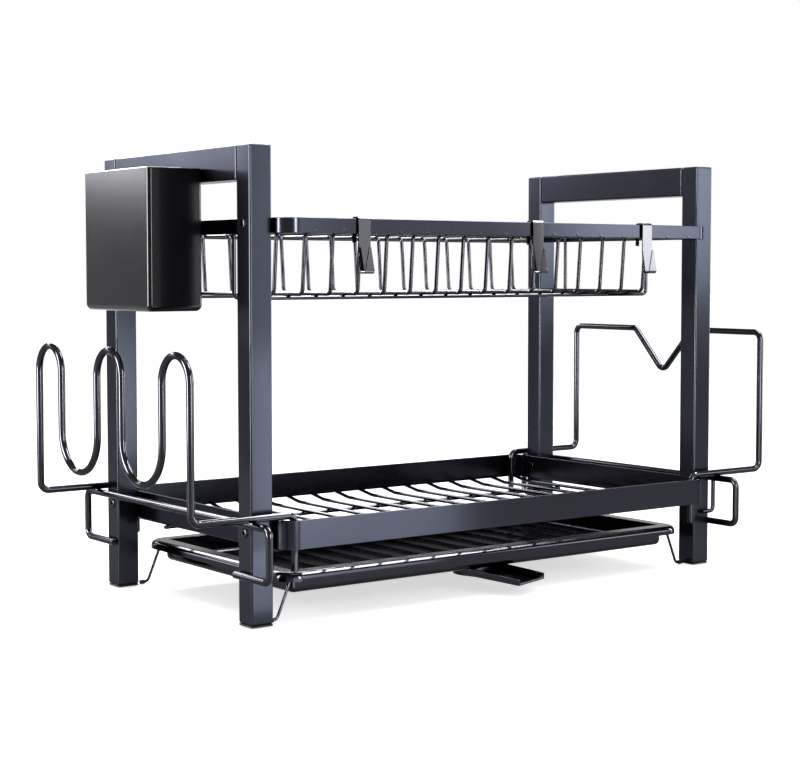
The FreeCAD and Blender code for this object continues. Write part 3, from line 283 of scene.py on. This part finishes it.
def finish(name, base, shade, rough, grain=900.0, patch=18.0, bump=0.04, metallic=0.0,
           specular=0.5, edge=1.0):
    """A material whose colour, roughness and grain come from the shared group."""
    paint = bpy.data.materials.new(name)
    paint.use_nodes = True
    nodes = paint.node_tree.nodes
    links = paint.node_tree.links
    shader = nodes["Principled BSDF"]
    surface = nodes.new("ShaderNodeGroup")
    surface.node_tree = finish_group
    surface.inputs["Base"].default_value = (*base, 1.0)
    surface.inputs["Shade"].default_value = (*shade, 1.0)
    surface.inputs["Grain Scale"].default_value = grain
    surface.inputs["Patch Scale"].default_value = patch
    surface.inputs["Rough Low"].default_value = rough[0]
    surface.inputs["Rough High"].default_value = rough[1]
    links.new(surface.outputs["Color"], shader.inputs["Base Color"])
    links.new(surface.outputs["Roughness"], shader.inputs["Roughness"])
    relief = nodes.new("ShaderNodeBump")
    relief.inputs["Strength"].default_value = bump
    relief.inputs["Distance"].default_value = GRAIN_DEPTH
    links.new(surface.outputs["Height"], relief.inputs["Height"])
    links.new(relief.outputs["Normal"], shader.inputs["Normal"])
    shader.inputs["Metallic"].default_value = metallic
    shader.inputs["Specular IOR Level"].default_value = specular
    shader.inputs["Specular Tint"].default_value = (edge, edge, edge, 1.0)
    return paint


# %% [markdown]
# The frame and the rims have a baked lacquer, the wires a dipped coating, and the tray
# and caddy are glossy plastic. A plain dark colour would look grey at a glancing angle in
# a white room. A metallic finish whose edge tint is below one stays dark there, as the
# real coatings do, so all but the caddy and the feet are made that way.

# %% The finishes
powder_coat = finish("powder_coat", (0.0155, 0.0165, 0.0215), (0.0135, 0.0145, 0.0190),
                     (0.19, 0.25), grain=1400.0, bump=0.04, metallic=1.0, edge=0.6)
rim_coat = finish("rim_coat", (0.0160, 0.0165, 0.0215), (0.0140, 0.0145, 0.0190),
                  (0.17, 0.23), grain=1400.0, bump=0.03, metallic=1.0, edge=0.45)
wire_coat = finish("wire_coat", (0.020, 0.020, 0.023), (0.016, 0.016, 0.019),
                   (0.08, 0.14), grain=260.0, bump=0.02, metallic=1.0, edge=0.55)
hook_steel = finish("hook_steel", (0.047, 0.046, 0.048), (0.038, 0.037, 0.039),
                    (0.08, 0.14), grain=1200.0, bump=0.01, metallic=1.0, edge=0.6)
black_screw = finish("black_screw", (0.022, 0.022, 0.026), (0.016, 0.016, 0.02),
                     (0.12, 0.2), grain=2500.0, bump=0.05, metallic=1.0, edge=0.6)
tray_gloss = finish("tray_gloss", (0.016, 0.016, 0.019), (0.013, 0.013, 0.016),
                    (0.10, 0.16), grain=160.0, bump=0.02, metallic=1.0, edge=0.6)
tray_basin = finish("tray_basin", (0.018, 0.018, 0.022), (0.014, 0.014, 0.018),
                    (0.20, 0.28), grain=420.0, bump=0.03, metallic=1.0, edge=0.25)
caddy_plastic = finish("caddy_plastic", (0.003, 0.003, 0.005), (0.002, 0.002, 0.004),
                       (0.14, 0.20), grain=500.0, bump=0.01, specular=0.1)
foot_plastic = finish("foot_plastic", (0.008, 0.008, 0.009), (0.006, 0.006, 0.007),
                      (0.4, 0.5), grain=1500.0, bump=0.1, specular=0.1)
print("finishes", len(bpy.data.materials))

# %% [markdown]
# ## Helpers
#
# New pieces start from a primitive or a wire path. These helpers select, finish and
# register them: a finished piece has its place in its mesh, rides on its body and stands
# for its CAD node.

# %% Helpers
SAME_POINT = 0.02 * MM
FLAT = math.radians(0.5)
SHARP = 35.0
COPY_SHARP = math.radians(50)


def deselect():
    if bpy.context.mode != "OBJECT":
        bpy.ops.object.mode_set(mode="OBJECT")
    bpy.ops.object.select_all(action="DESELECT")


def pick(piece):
    """Make one object the only selected and active one."""
    deselect()
    piece.select_set(True)
    bpy.context.view_layer.objects.active = piece


def apply_place(piece):
    pick(piece)
    bpy.ops.object.transform_apply(location=True, rotation=True, scale=True)


def modify(piece, kind, **values):
    """Add a modifier, set its values and apply it."""
    pick(piece)
    modifier = piece.modifiers.new(kind.lower(), kind)
    for key, value in values.items():
        setattr(modifier, key, value)
    bpy.ops.object.modifier_apply(modifier=modifier.name)


def smooth(piece, degrees=SHARP):
    """Smooth shading in which large flat faces stay flat beside rounded edges."""
    pick(piece)
    bpy.ops.object.shade_smooth_by_angle(angle=math.radians(degrees))
    modify(piece, "WEIGHTED_NORMAL", keep_sharp=True)


def join(pieces, name):
    """Join separate meshes into one piece."""
    deselect()
    for piece in pieces:
        piece.select_set(True)
    bpy.context.view_layer.objects.active = pieces[0]
    if len(pieces) > 1:
        bpy.ops.object.join()
    joined = bpy.context.object
    joined.name = name
    joined.data.name = name
    return joined


def register(piece, paint, slot, body, *nodes):
    """Give a finished piece its material, body and the nodes it stands for; the slot is not used.
    """
    apply_place(piece)
    piece.data.materials.clear()
    piece.data.materials.append(paint)
    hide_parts(*nodes)
    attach(piece, body)
    deselect()
    print(piece.name, "faces", len(piece.data.polygons))
    return piece


def block(name, low, high):
    """A block between two corners, the start of a tube or a plug."""
    deselect()
    low = Vector(low)
    high = Vector(high)
    bpy.ops.mesh.primitive_cube_add(size=1.0, location=(low + high) / 2)
    piece = bpy.context.object
    piece.name = name
    piece.scale = high - low
    apply_place(piece)
    return piece


def dressed_copy(name, node, round_size, segments=3):
    """A merged copy of a CAD node with its sharp edges rounded."""
    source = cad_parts[node]
    piece = bpy.data.objects.new(name, source.data.copy())
    bpy.context.scene.collection.objects.link(piece)
    pick(piece)
    bpy.ops.object.mode_set(mode="EDIT")
    bpy.ops.mesh.select_all(action="SELECT")
    bpy.ops.mesh.remove_doubles(threshold=SAME_POINT)
    bpy.ops.mesh.dissolve_limited(angle_limit=FLAT)
    bpy.ops.object.mode_set(mode="OBJECT")
    modify(piece, "BEVEL", width=round_size, segments=segments, limit_method="ANGLE",
           angle_limit=COPY_SHARP, use_clamp_overlap=True)
    smooth(piece)
    return piece


# %% [markdown]
# The rack's wires are straight runs with round bends. One could be spun from a circle
# bend by bend, but a line of points is easier to measure and to change. The line becomes
# a curve, the curve a tube, and the tube a mesh with closed ends.

# %% Wires
ARC_STEPS = 7
TIP_SHARE = 0.25
TIP_SHARP = math.radians(70)
WIRE_SHARP = 50.0


def bent(points, radii, steps=ARC_STEPS):
    """The points of a wire's middle line, its corners replaced by arcs."""
    line = [Vector(points[0])]
    for index, radius in enumerate(radii, start=1):
        corner = Vector(points[index])
        back = (Vector(points[index - 1]) - corner).normalized()
        ahead = (Vector(points[index + 1]) - corner).normalized()
        opening = back.angle(ahead) / 2
        centre = corner + (back + ahead).normalized() * (radius / math.sin(opening))
        first = corner + back * (radius / math.tan(opening))
        last = corner + ahead * (radius / math.tan(opening))
        sweep = math.pi - 2 * opening
        start = first - centre
        side = (last - centre) - start * math.cos(sweep)
        side = side.normalized() * radius
        for step in range(steps + 1):
            turn = sweep * step / steps
            line.append(centre + start * math.cos(turn) + side * math.sin(turn))
    line.append(Vector(points[-1]))
    cleaned = [line[0]]
    for point in line[1:]:
        if (point - cleaned[-1]).length > SAME_POINT:
            cleaned.append(point)
    return cleaned


def wire(name, lines, radius, resolution=3):
    """Tubes along lines of points, as one mesh with rounded-off ends."""
    curve = bpy.data.curves.new(name, "CURVE")
    curve.dimensions = "3D"
    curve.bevel_depth = radius
    curve.bevel_resolution = resolution
    curve.use_fill_caps = True
    for line in lines:
        spline = curve.splines.new("POLY")
        spline.points.add(len(line) - 1)
        for point, place in zip(spline.points, line):
            point.co = (*place, 1.0)
    piece = bpy.data.objects.new(name, curve)
    bpy.context.scene.collection.objects.link(piece)
    pick(piece)
    bpy.ops.object.convert(target="MESH")
    piece = bpy.context.object
    bpy.ops.object.mode_set(mode="EDIT")
    bpy.ops.mesh.select_all(action="SELECT")
    bpy.ops.mesh.remove_doubles(threshold=SAME_POINT / 2)
    bpy.ops.mesh.normals_make_consistent(inside=False)
    bpy.ops.object.mode_set(mode="OBJECT")
    modify(piece, "BEVEL", width=radius * TIP_SHARE, segments=2, limit_method="ANGLE",
           angle_limit=TIP_SHARP)
    smooth(piece, WIRE_SHARP)
    return piece


# %% [markdown]
# ## End frames
#
# Two legs and a top bar make each end frame, all of square steel tube. Its edges are
# rolled, not sharp, and each one catches a thin line of light. The bar is welded
# between the legs and ground flush, so beside the weld a leg keeps a square edge. A
# modifier would round that edge too, so the edges are picked by place and bevelled by hand.

# %% Tubes
TUBE_ROUND = 1.6 * MM
NEAR = 0.1 * MM
ALONG = 0.99


def round_long_edges(piece, chosen):
    """Round the edges that a test picks by their middle and direction."""
    pick(piece)
    bpy.ops.object.mode_set(mode="EDIT")
    bpy.ops.mesh.select_mode(type="EDGE")
    mesh = bmesh.from_edit_mesh(piece.data)
    for edge in mesh.edges:
        middle = (edge.verts[0].co + edge.verts[1].co) / 2
        run = (edge.verts[1].co - edge.verts[0].co).normalized()
        edge.select_set(chosen(middle, run))
    mesh.select_flush(True)
    bmesh.update_edit_mesh(piece.data)
    bpy.ops.mesh.bevel(offset=TUBE_ROUND, segments=4, affect="EDGES")
    bpy.ops.object.mode_set(mode="OBJECT")
    smooth(piece)
    return piece


def leg_tube(name, node, bar_node):
    """A leg of full height whose edges beside the bar's end stay square."""
    low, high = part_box(node)
    bar_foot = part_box(bar_node)[0].z
    bar_side = high.y if low.y < 0 else low.y
    piece = block(name, low, high)
    pick(piece)
    bpy.ops.object.mode_set(mode="EDIT")
    bpy.ops.mesh.select_all(action="SELECT")
    bpy.ops.mesh.bisect(plane_co=(0.0, 0.0, bar_foot), plane_no=(0.0, 0.0, 1.0))
    bpy.ops.object.mode_set(mode="OBJECT")

    def chosen(middle, run):
        beside_bar = abs(middle.y - bar_side) < NEAR
        if abs(run.z) > ALONG:
            return not beside_bar or middle.z < bar_foot
        return middle.z > high.z - NEAR and not beside_bar

    return round_long_edges(piece, chosen)


def bar_tube(name, node):
    low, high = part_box(node)
    return round_long_edges(block(name, low, high), lambda middle, run: abs(run.y) > ALONG)


for side in ("left", "right"):
    bar_node = side + "_top_bar"
    for end in ("front", "back"):
        node = side + "_" + end + "_leg"
        tube = leg_tube(node + "_tube", node, bar_node)
        register(tube, powder_coat, "frame_paint", "rack", node)
    tube = bar_tube(bar_node + "_tube", bar_node)
    register(tube, powder_coat, "frame_paint", "rack", bar_node)

# %% [markdown]
# Each leg ends in a black plastic plug, pushed into the tube. Only its foot shows, as a
# thin dark line under the leg, so a low block with the tube's round corners is enough.

# %% Leg plugs
plug_low, plug_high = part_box("leg_plugs")
PLUG_SIZE = 20.0 * MM
PLUG_FOOT = 2.0 * MM
plugs = []
for x in (plug_low.x, plug_high.x - PLUG_SIZE):
    for y in (plug_low.y, plug_high.y - PLUG_SIZE):
        corner = Vector((x, y, plug_low.z))
        foot = block("plug", corner, corner + Vector((PLUG_SIZE, PLUG_SIZE, PLUG_FOOT)))
        plugs.append(round_long_edges(foot, lambda middle, run: abs(run.z) > ALONG))
leg_plug_set = join(plugs, "leg_plug_feet")
smooth(leg_plug_set)
register(leg_plug_set, foot_plastic, "foot_plastic", "rack", "leg_plugs")

# %% [markdown]
# ## Rims
#
# Each rim is one flat strip bent round four corners. It could be cut out of a block with
# two rounded boxes. Here a ring of edges with bevelled corners is pulled up to the
# strip's height and given its thickness, which keeps the faces long and clean.

# %% Rims
RIM_CORNER = 15.0 * MM
RIM_SHEET = 2.0 * MM
STRIP_EDGE = 0.5 * MM
STRIP_SHARP = math.radians(60)


def rim(name, node):
    low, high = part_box(node)
    deselect()
    middle = (low + high) / 2
    bpy.ops.mesh.primitive_plane_add(size=1.0, location=(middle.x, middle.y, low.z))
    piece = bpy.context.object
    piece.name = name
    piece.scale = (high.x - low.x, high.y - low.y, 1.0)
    apply_place(piece)
    bpy.ops.object.mode_set(mode="EDIT")
    bpy.ops.mesh.select_all(action="SELECT")
    bpy.ops.mesh.bevel(offset=RIM_CORNER, offset_type="OFFSET", segments=8,
                       affect="VERTICES")
    bpy.ops.mesh.select_all(action="SELECT")
    bpy.ops.mesh.delete(type="ONLY_FACE")
    bpy.ops.mesh.select_all(action="SELECT")
    rise = (0.0, 0.0, high.z - low.z)
    bpy.ops.mesh.extrude_region_move(TRANSFORM_OT_translate={"value": rise})
    bpy.ops.mesh.select_all(action="SELECT")
    bpy.ops.mesh.normals_make_consistent(inside=False)
    bpy.ops.object.mode_set(mode="OBJECT")
    modify(piece, "SOLIDIFY", thickness=RIM_SHEET, offset=-1.0, use_even_offset=True)
    modify(piece, "BEVEL", width=STRIP_EDGE, segments=3, limit_method="ANGLE",
           angle_limit=STRIP_SHARP)
    smooth(piece)
    return piece


for node in ("upper_rim", "lower_rim"):
    register(rim(node + "_strip", node), rim_coat, "frame_paint", "rack", node)

# %% [markdown]
# ## Wires of the two tiers
#
# The upper wires run in from the rim, step down to the trough and back up, so plates
# stand between them. Their ends are welded through the rim's strip and show on its
# outside as small dark ticks. One wire could be made and arrayed, but the rows are short,
# so each wire's points are worked out from its place along the rack.

# %% Upper tier
UPPER_PITCH = 27.5 * MM
UPPER_COUNT = 16
CROSS_RADIUS = 1.65 * MM
LONG_RADIUS = 1.7 * MM
RIM_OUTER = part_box("upper_rim")[1].y
WELD_TICK = 0.25 * MM
UPPER_END = RIM_OUTER + WELD_TICK
TROUGH_TOP = 81.5 * MM
TROUGH_FOOT = 77.5 * MM
wires_low, wires_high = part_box("upper_cross_wires")
SHELF_HEIGHT = wires_high.z - CROSS_RADIUS
TROUGH_FLOOR = wires_low.z + CROSS_RADIUS
WIRE_BEND = 5.0 * MM

upper_lines = []
for index in range(UPPER_COUNT):
    x = (index - (UPPER_COUNT - 1) / 2) * UPPER_PITCH
    route = [
        (x, -UPPER_END, SHELF_HEIGHT),
        (x, -TROUGH_TOP, SHELF_HEIGHT),
        (x, -TROUGH_FOOT, TROUGH_FLOOR),
        (x, TROUGH_FOOT, TROUGH_FLOOR),
        (x, TROUGH_TOP, SHELF_HEIGHT),
        (x, UPPER_END, SHELF_HEIGHT),
    ]
    upper_lines.append(bent(route, [WIRE_BEND] * 4))
register(wire("upper_plate_wires", upper_lines, CROSS_RADIUS), wire_coat, "wire_coating", "rack",
         "upper_cross_wires")

long_low, long_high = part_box("upper_long_wires")
LONG_BEND = 5.0 * MM
long_x = long_high.x - LONG_RADIUS
long_z = long_low.z + LONG_RADIUS
long_lines = []
for y in (long_low.y + LONG_RADIUS, long_high.y - LONG_RADIUS):
    route = [(-long_x, y, long_high.z), (-long_x, y, long_z),
             (long_x, y, long_z), (long_x, y, long_high.z)]
    long_lines.append(bent(route, [LONG_BEND] * 2))
register(wire("upper_trough_rails", long_lines, LONG_RADIUS), wire_coat, "wire_coating", "rack",
         "upper_long_wires")

# %% [markdown]
# The lower wires slope down from the rim to a flat shelf, so that plates don't slide off.
# Near the rim's round corners a wire meets the strip sooner, and its end is worked out
# from the circle of the corner. Two straight rails under them carry the shelf.

# %% Lower tier
LOWER_PITCH = 28.3 * MM
LOWER_COUNT = 17
LOWER_RAMP = 22.0 * MM
LOWER_SINK = 3.9 * MM
LOWER_BEND = 15.0 * MM
WELD_DEPTH = 0.3 * MM
strip_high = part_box("lower_rim")[1]
shelf_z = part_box("lower_cross_wires")[0].z + CROSS_RADIUS
rim_face = strip_high.y - RIM_SHEET


def lower_reach(x):
    """How far a wire runs before it meets the rim, which turns away at its corners."""
    into_corner = abs(x) + CROSS_RADIUS - strip_high.x + RIM_CORNER
    if into_corner <= 0:
        return rim_face
    inner_corner = RIM_CORNER - RIM_SHEET
    return strip_high.y - RIM_CORNER + math.sqrt(inner_corner ** 2 - into_corner ** 2)


foot = rim_face - LOWER_RAMP
lower_lines = []
for index in range(LOWER_COUNT):
    x = (index - (LOWER_COUNT - 1) / 2) * LOWER_PITCH
    reach = lower_reach(x) + WELD_DEPTH
    route = [(x, -reach, shelf_z + LOWER_SINK), (x, -foot, shelf_z), (x, foot, shelf_z),
             (x, reach, shelf_z + LOWER_SINK)]
    lower_lines.append(bent(route, [LOWER_BEND] * 2))
register(wire("lower_shelf_wires", lower_lines, CROSS_RADIUS), wire_coat, "wire_coating", "rack",
         "lower_cross_wires")

rail_low, rail_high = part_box("lower_long_wires")
rail_z = (rail_low.z + rail_high.z) / 2
rail_lines = []
for y in (rail_low.y + LONG_RADIUS, rail_high.y - LONG_RADIUS):
    rail_lines.append([Vector((rail_low.x, y, rail_z)), Vector((rail_high.x, y, rail_z))])
register(wire("lower_shelf_rails", rail_lines, LONG_RADIUS), wire_coat, "wire_coating", "rack",
         "lower_long_wires")

# %% [markdown]
# ## Holders
#
# Two thicker wires hang over the lower rim's ends. One is bent into three tall loops
# for cups, the other into a frame with a notch for a board. The loops' bends are so wide
# that no straight run is left between them, so their radius is half of the loop's width.

# %% Cup holder
HOLDER_RADIUS = 3.0 * MM
HOLDER_BEND = 7.5 * MM
HOOK_BEND = 6.5 * MM
cup_low, cup_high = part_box("cup_holder_loops")
RUN_Z = 87.5 * MM
RUN_Y = cup_high.y - HOLDER_RADIUS
LOOP_X = -cup_low.x - HOLDER_RADIUS
HOOK_X = -(cup_high.x - HOLDER_RADIUS)
HOOK_END = cup_low.z
CUP_LOOP = 43.0 * MM
CUP_VALLEY = (2 * RUN_Y - 3 * CUP_LOOP) / 2
CUP_TOP = cup_high.z - HOLDER_RADIUS
CUP_LOW = 110.5 * MM


def arm(side, y):
    """From the hook inside the rim to the outer corner."""
    return [(side * HOOK_X, y, HOOK_END), (side * HOOK_X, y, RUN_Z), (side * LOOP_X, y, RUN_Z)]


turns = [-RUN_Y]
for step in (CUP_LOOP, CUP_VALLEY, CUP_LOOP, CUP_VALLEY, CUP_LOOP):
    turns.append(turns[-1] + step)
cup_route = arm(-1, -RUN_Y)
for y, z in ((turns[0], CUP_TOP), (turns[1], CUP_TOP), (turns[1], CUP_LOW), (turns[2], CUP_LOW),
             (turns[2], CUP_TOP), (turns[3], CUP_TOP), (turns[3], CUP_LOW), (turns[4], CUP_LOW),
             (turns[4], CUP_TOP), (turns[5], CUP_TOP)):
    cup_route.append((-LOOP_X, y, z))
cup_route += arm(-1, RUN_Y)[::-1]
half_loop = CUP_LOOP / 2 - SAME_POINT / 2
half_valley = CUP_VALLEY / 2 - SAME_POINT / 2
one_loop = [half_loop] * 2
one_valley = [half_valley] * 2
cup_bends = [HOOK_BEND, HOLDER_BEND, *one_loop, *one_valley, *one_loop, *one_valley, *one_loop,
             HOLDER_BEND, HOOK_BEND]
cup_line = bent(cup_route, cup_bends, 12)
register(wire("cup_loops", [cup_line], HOLDER_RADIUS, 5), wire_coat, "wire_coating", "cup_holder",
         "cup_holder_loops")

# %% [markdown]
# Each holder has a brace that lies along the legs' outer faces, turns down and comes
# back, and so keeps the holder from swinging in.

# %% Braces
BRACE_END = 101.0 * MM


def brace(name, node, body):
    low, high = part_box(node)
    x = (low.x + high.x) / 2
    reach = high.y - HOLDER_RADIUS
    top = high.z - HOLDER_RADIUS
    foot = low.z + HOLDER_RADIUS
    route = [(x, -BRACE_END, foot), (x, -reach, foot), (x, -reach, top), (x, reach, top),
             (x, reach, foot), (x, BRACE_END, foot)]
    line = bent(route, [HOOK_BEND] * 4, 9)
    return register(wire(name, [line], HOLDER_RADIUS, 5), wire_coat, "wire_coating", body, node)


brace("cup_brace", "cup_holder_brace", "cup_holder")
brace("board_brace", "board_holder_brace", "board_holder")

# %% [markdown]
# The board holder is the same kind of wire. Its top dips in a V where the board's edge
# rests, and a thinner stop wire keeps the board's foot in place.

# %% Board holder
BOARD_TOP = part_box("board_holder_frame")[1].z - HOLDER_RADIUS
NOTCH_HALF = 39.8 * MM
NOTCH_DEPTH = 43.4 * MM
board_route = arm(1, -RUN_Y)
for y, drop in ((-RUN_Y, 0.0), (-NOTCH_HALF, 0.0), (0.0, NOTCH_DEPTH), (NOTCH_HALF, 0.0),
                (RUN_Y, 0.0)):
    board_route.append((LOOP_X, y, BOARD_TOP - drop))
board_route += arm(1, RUN_Y)[::-1]
board_bends = [HOOK_BEND] + [HOLDER_BEND] * 7 + [HOOK_BEND]
board_line = bent(board_route, board_bends, 9)
register(wire("board_frame", [board_line], HOLDER_RADIUS, 5), wire_coat, "wire_coating",
         "board_holder", "board_holder_frame")

stop_low, stop_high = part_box("board_holder_stop")
STOP_RADIUS = 2.0 * MM
STOP_BEND = 4.0 * MM
stop_y = (stop_low.y + stop_high.y) / 2
stop_x = stop_high.x - STOP_RADIUS
stop_z = stop_low.z + STOP_RADIUS
stop_route = [(stop_x, stop_y, stop_high.z), (stop_x, stop_y, stop_z),
              (stop_low.x, stop_y, stop_z)]
stop_line = bent(stop_route, [STOP_BEND])
register(wire("board_stop", [stop_line], STOP_RADIUS, 4), wire_coat, "wire_coating", "board_holder",
         "board_holder_stop")

# %% [markdown]
# ## Tray feet
#
# A thin wire lies under each short side of the tray. Its ends splay out and down to
# the table, where soft sleeves cover the tips. Both are wires again, so that the sleeve
# sits on its foot by the same points.

# %% Tray feet
FOOT_RADIUS = 1.3 * MM
FOOT_TOE = 7.0 * MM
FOOT_BEND = 5.0 * MM
SLEEVE_RADIUS = 2.0 * MM
for side, label in ((-1, "left"), (1, "right")):
    foot_low, foot_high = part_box("tray_foot_" + label)
    inner = foot_low.x if side > 0 else foot_high.x
    outer = foot_high.x if side > 0 else foot_low.x
    knee = inner + side * FOOT_RADIUS
    ankle = outer - side * FOOT_TOE
    front = foot_low.y + FOOT_RADIUS
    back = foot_high.y - FOOT_RADIUS
    top = foot_high.z - FOOT_RADIUS
    route = [(outer, front, SLEEVE_RADIUS), (ankle, front, SLEEVE_RADIUS), (knee, front, top),
             (knee, back, top), (ankle, back, SLEEVE_RADIUS), (outer, back, SLEEVE_RADIUS)]
    line = bent(route, [FOOT_BEND] * 4)
    register(wire("tray_leg_" + label, [line], FOOT_RADIUS), wire_coat, "wire_coating", "tray",
             "tray_foot_" + label)

sleeve_low, sleeve_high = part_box("tray_foot_sleeves")
SLEEVE_LENGTH = 4.2 * MM
sleeves = []
for x in (sleeve_low.x, sleeve_high.x):
    inward = 1 if x < 0 else -1
    inner = x + inward * SLEEVE_LENGTH
    for y in (sleeve_low.y + SLEEVE_RADIUS, sleeve_high.y - SLEEVE_RADIUS):
        sleeves.append([Vector((x, y, SLEEVE_RADIUS)), Vector((inner, y, SLEEVE_RADIUS))])
register(wire("tray_leg_sleeves", sleeves, SLEEVE_RADIUS, 4), foot_plastic, "foot_plastic", "tray",
         "tray_foot_sleeves")

# %% [markdown]
# ## Screws and nuts
#
# Small black button screws hold the rims to the legs. One is modelled, its head from a
# cylinder with a rounded rim and its socket cut with a hexagon, and copied to the eight
# places, with a nut on the inside of each.

# %% Screws and nuts
HEAD_RADIUS = 4.2 * MM
HEAD_HEIGHT = 2.8 * MM
HEAD_ROUND = 1.6 * MM
SOCKET_RADIUS = 1.7 * MM
SOCKET_LENGTH = 3.0 * MM
SHANK_RADIUS = 2.0 * MM
SHANK_LENGTH = 25.2 * MM
SCREW_Y = 110.0 * MM
SCREW_HEIGHTS = (74.0 * MM, 314.2 * MM)
LEG_FACE = 255.0 * MM
RIM_FACE = 233.0 * MM
NUT_HEIGHT = 3.2 * MM
NUT_RADIUS = 7.0 / math.sqrt(3) * MM
NUT_EDGE = 0.35 * MM
METAL_SHARP = 30.0
ON_TOP = 0.9


def select_faces(piece, test):
    """In edit mode, select exactly the faces that pass a test."""
    mesh = bmesh.from_edit_mesh(piece.data)
    for face in mesh.faces:
        face.select_set(test(face))
    mesh.select_flush(True)
    bmesh.update_edit_mesh(piece.data)


def button_screw():
    """A round head with a hexagonal socket, its seat at the origin, pointing up."""
    deselect()
    bpy.ops.mesh.primitive_cylinder_add(vertices=24, radius=HEAD_RADIUS, depth=HEAD_HEIGHT,
                                        location=(0.0, 0.0, HEAD_HEIGHT / 2))
    head = bpy.context.object
    bpy.ops.object.mode_set(mode="EDIT")
    bpy.ops.mesh.select_mode(type="FACE")
    select_faces(head, lambda face: face.normal.z > ON_TOP)
    bpy.ops.mesh.bevel(offset=HEAD_ROUND, segments=4, affect="EDGES")
    bpy.ops.object.mode_set(mode="OBJECT")
    deselect()
    bpy.ops.mesh.primitive_cylinder_add(vertices=6, radius=SOCKET_RADIUS, depth=SOCKET_LENGTH,
                                        location=(0.0, 0.0, HEAD_HEIGHT))
    socket = bpy.context.object
    modify(head, "BOOLEAN", object=socket, operation="DIFFERENCE", solver="EXACT")
    bpy.data.objects.remove(socket)
    deselect()
    bpy.ops.mesh.primitive_cylinder_add(vertices=16, radius=SHANK_RADIUS, depth=SHANK_LENGTH,
                                        location=(0.0, 0.0, -SHANK_LENGTH / 2))
    shank = bpy.context.object
    screw = join([head, shank], "screw")
    smooth(screw, METAL_SHARP)
    return screw


def hex_nut():
    deselect()
    bpy.ops.mesh.primitive_cylinder_add(vertices=6, radius=NUT_RADIUS, depth=NUT_HEIGHT,
                                        location=(0.0, 0.0, NUT_HEIGHT / 2))
    nut = bpy.context.object
    modify(nut, "BEVEL", width=NUT_EDGE, segments=2, limit_method="ANGLE")
    smooth(nut, METAL_SHARP)
    return nut


def copies_at(pattern, name, places):
    """Copies of a pattern, each turned by a matrix and with its own mesh."""
    made = []
    for place in places:
        copy = pattern.copy()
        copy.data = pattern.data.copy()
        bpy.context.scene.collection.objects.link(copy)
        copy.matrix_world = place
        apply_place(copy)
        made.append(copy)
    bpy.data.objects.remove(pattern)
    return join(made, name)


def along_x(side, x, y, z):
    """Turns +Z to the given side along X and moves to a place."""
    return Matrix.Translation((x, y, z)) @ Matrix.Rotation(side * math.pi / 2, 4, "Y")


screw_places = []
nut_places = []
for side in (-1, 1):
    for z in SCREW_HEIGHTS:
        for y in (-SCREW_Y, SCREW_Y):
            screw_places.append(along_x(side, side * LEG_FACE, y, z))
            nut_places.append(along_x(-side, side * RIM_FACE, y, z))
leg_screws = copies_at(button_screw(), "leg_screws", screw_places)
register(leg_screws, black_screw, "screw_metal", "rack", "frame_screws")
rim_nuts = copies_at(hex_nut(), "rim_nuts", nut_places)
register(rim_nuts, black_screw, "screw_metal", "rack", "frame_nuts")

# %% [markdown]
# ## Hooks
#
# Three straps of bright steel are folded over the upper rim, cut narrow below and turned
# up at the tip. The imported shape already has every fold, so each strap is a merged copy
# with its cut edges rounded, and catches the light along them.

# %% Hooks
HOOK_EDGE = 0.3 * MM
for label in ("left", "middle", "right"):
    node = "hook_" + label
    register(dressed_copy(node + "_strap", node, HOOK_EDGE, 2), hook_steel, "hook_metal",
             node + "_body", node)

# %% [markdown]
# ## Caddy, tray and spout
#
# All three are moulded in black plastic. They could be modelled again from boxes, but the
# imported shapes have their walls, slots, ribs and nozzle, so these are merged copies too.
# The caddy's corners are rounder than the tray's.

# %% Caddy
CADDY_EDGE = 1.1 * MM
register(dressed_copy("caddy_shell", "cutlery_caddy", CADDY_EDGE, 4), caddy_plastic,
         "gloss_black_plastic", "caddy", "cutlery_caddy")

# %% [markdown]
# The tray's inside is a little duller than its rim, so its faces get a second finish.
# They are picked by their place and by where they face.

# %% Tray and spout
TRAY_EDGE = 0.7 * MM
SPOUT_EDGE = 0.5 * MM
BASIN_INSET = 14.0 * MM
BASIN_DROP = 4.0 * MM
FACES_UP = 0.2
tray_shell = register(dressed_copy("tray_shell", "drip_tray", TRAY_EDGE), tray_gloss,
                      "gloss_black_plastic", "tray", "drip_tray")
tray_low, tray_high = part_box("drip_tray")
tray_shell.data.materials.append(tray_basin)
for face in tray_shell.data.polygons:
    inside_x = tray_low.x + BASIN_INSET < face.center.x < tray_high.x - BASIN_INSET
    inside_y = tray_low.y + BASIN_INSET < face.center.y < tray_high.y - BASIN_INSET
    below_rim = face.center.z < tray_high.z - BASIN_DROP
    if inside_x and inside_y and below_rim and face.normal.z > FACES_UP:
        face.material_index = 1
register(dressed_copy("spout_shell", "drain_spout", SPOUT_EDGE), tray_gloss,
         "gloss_black_plastic", "spout", "drain_spout")
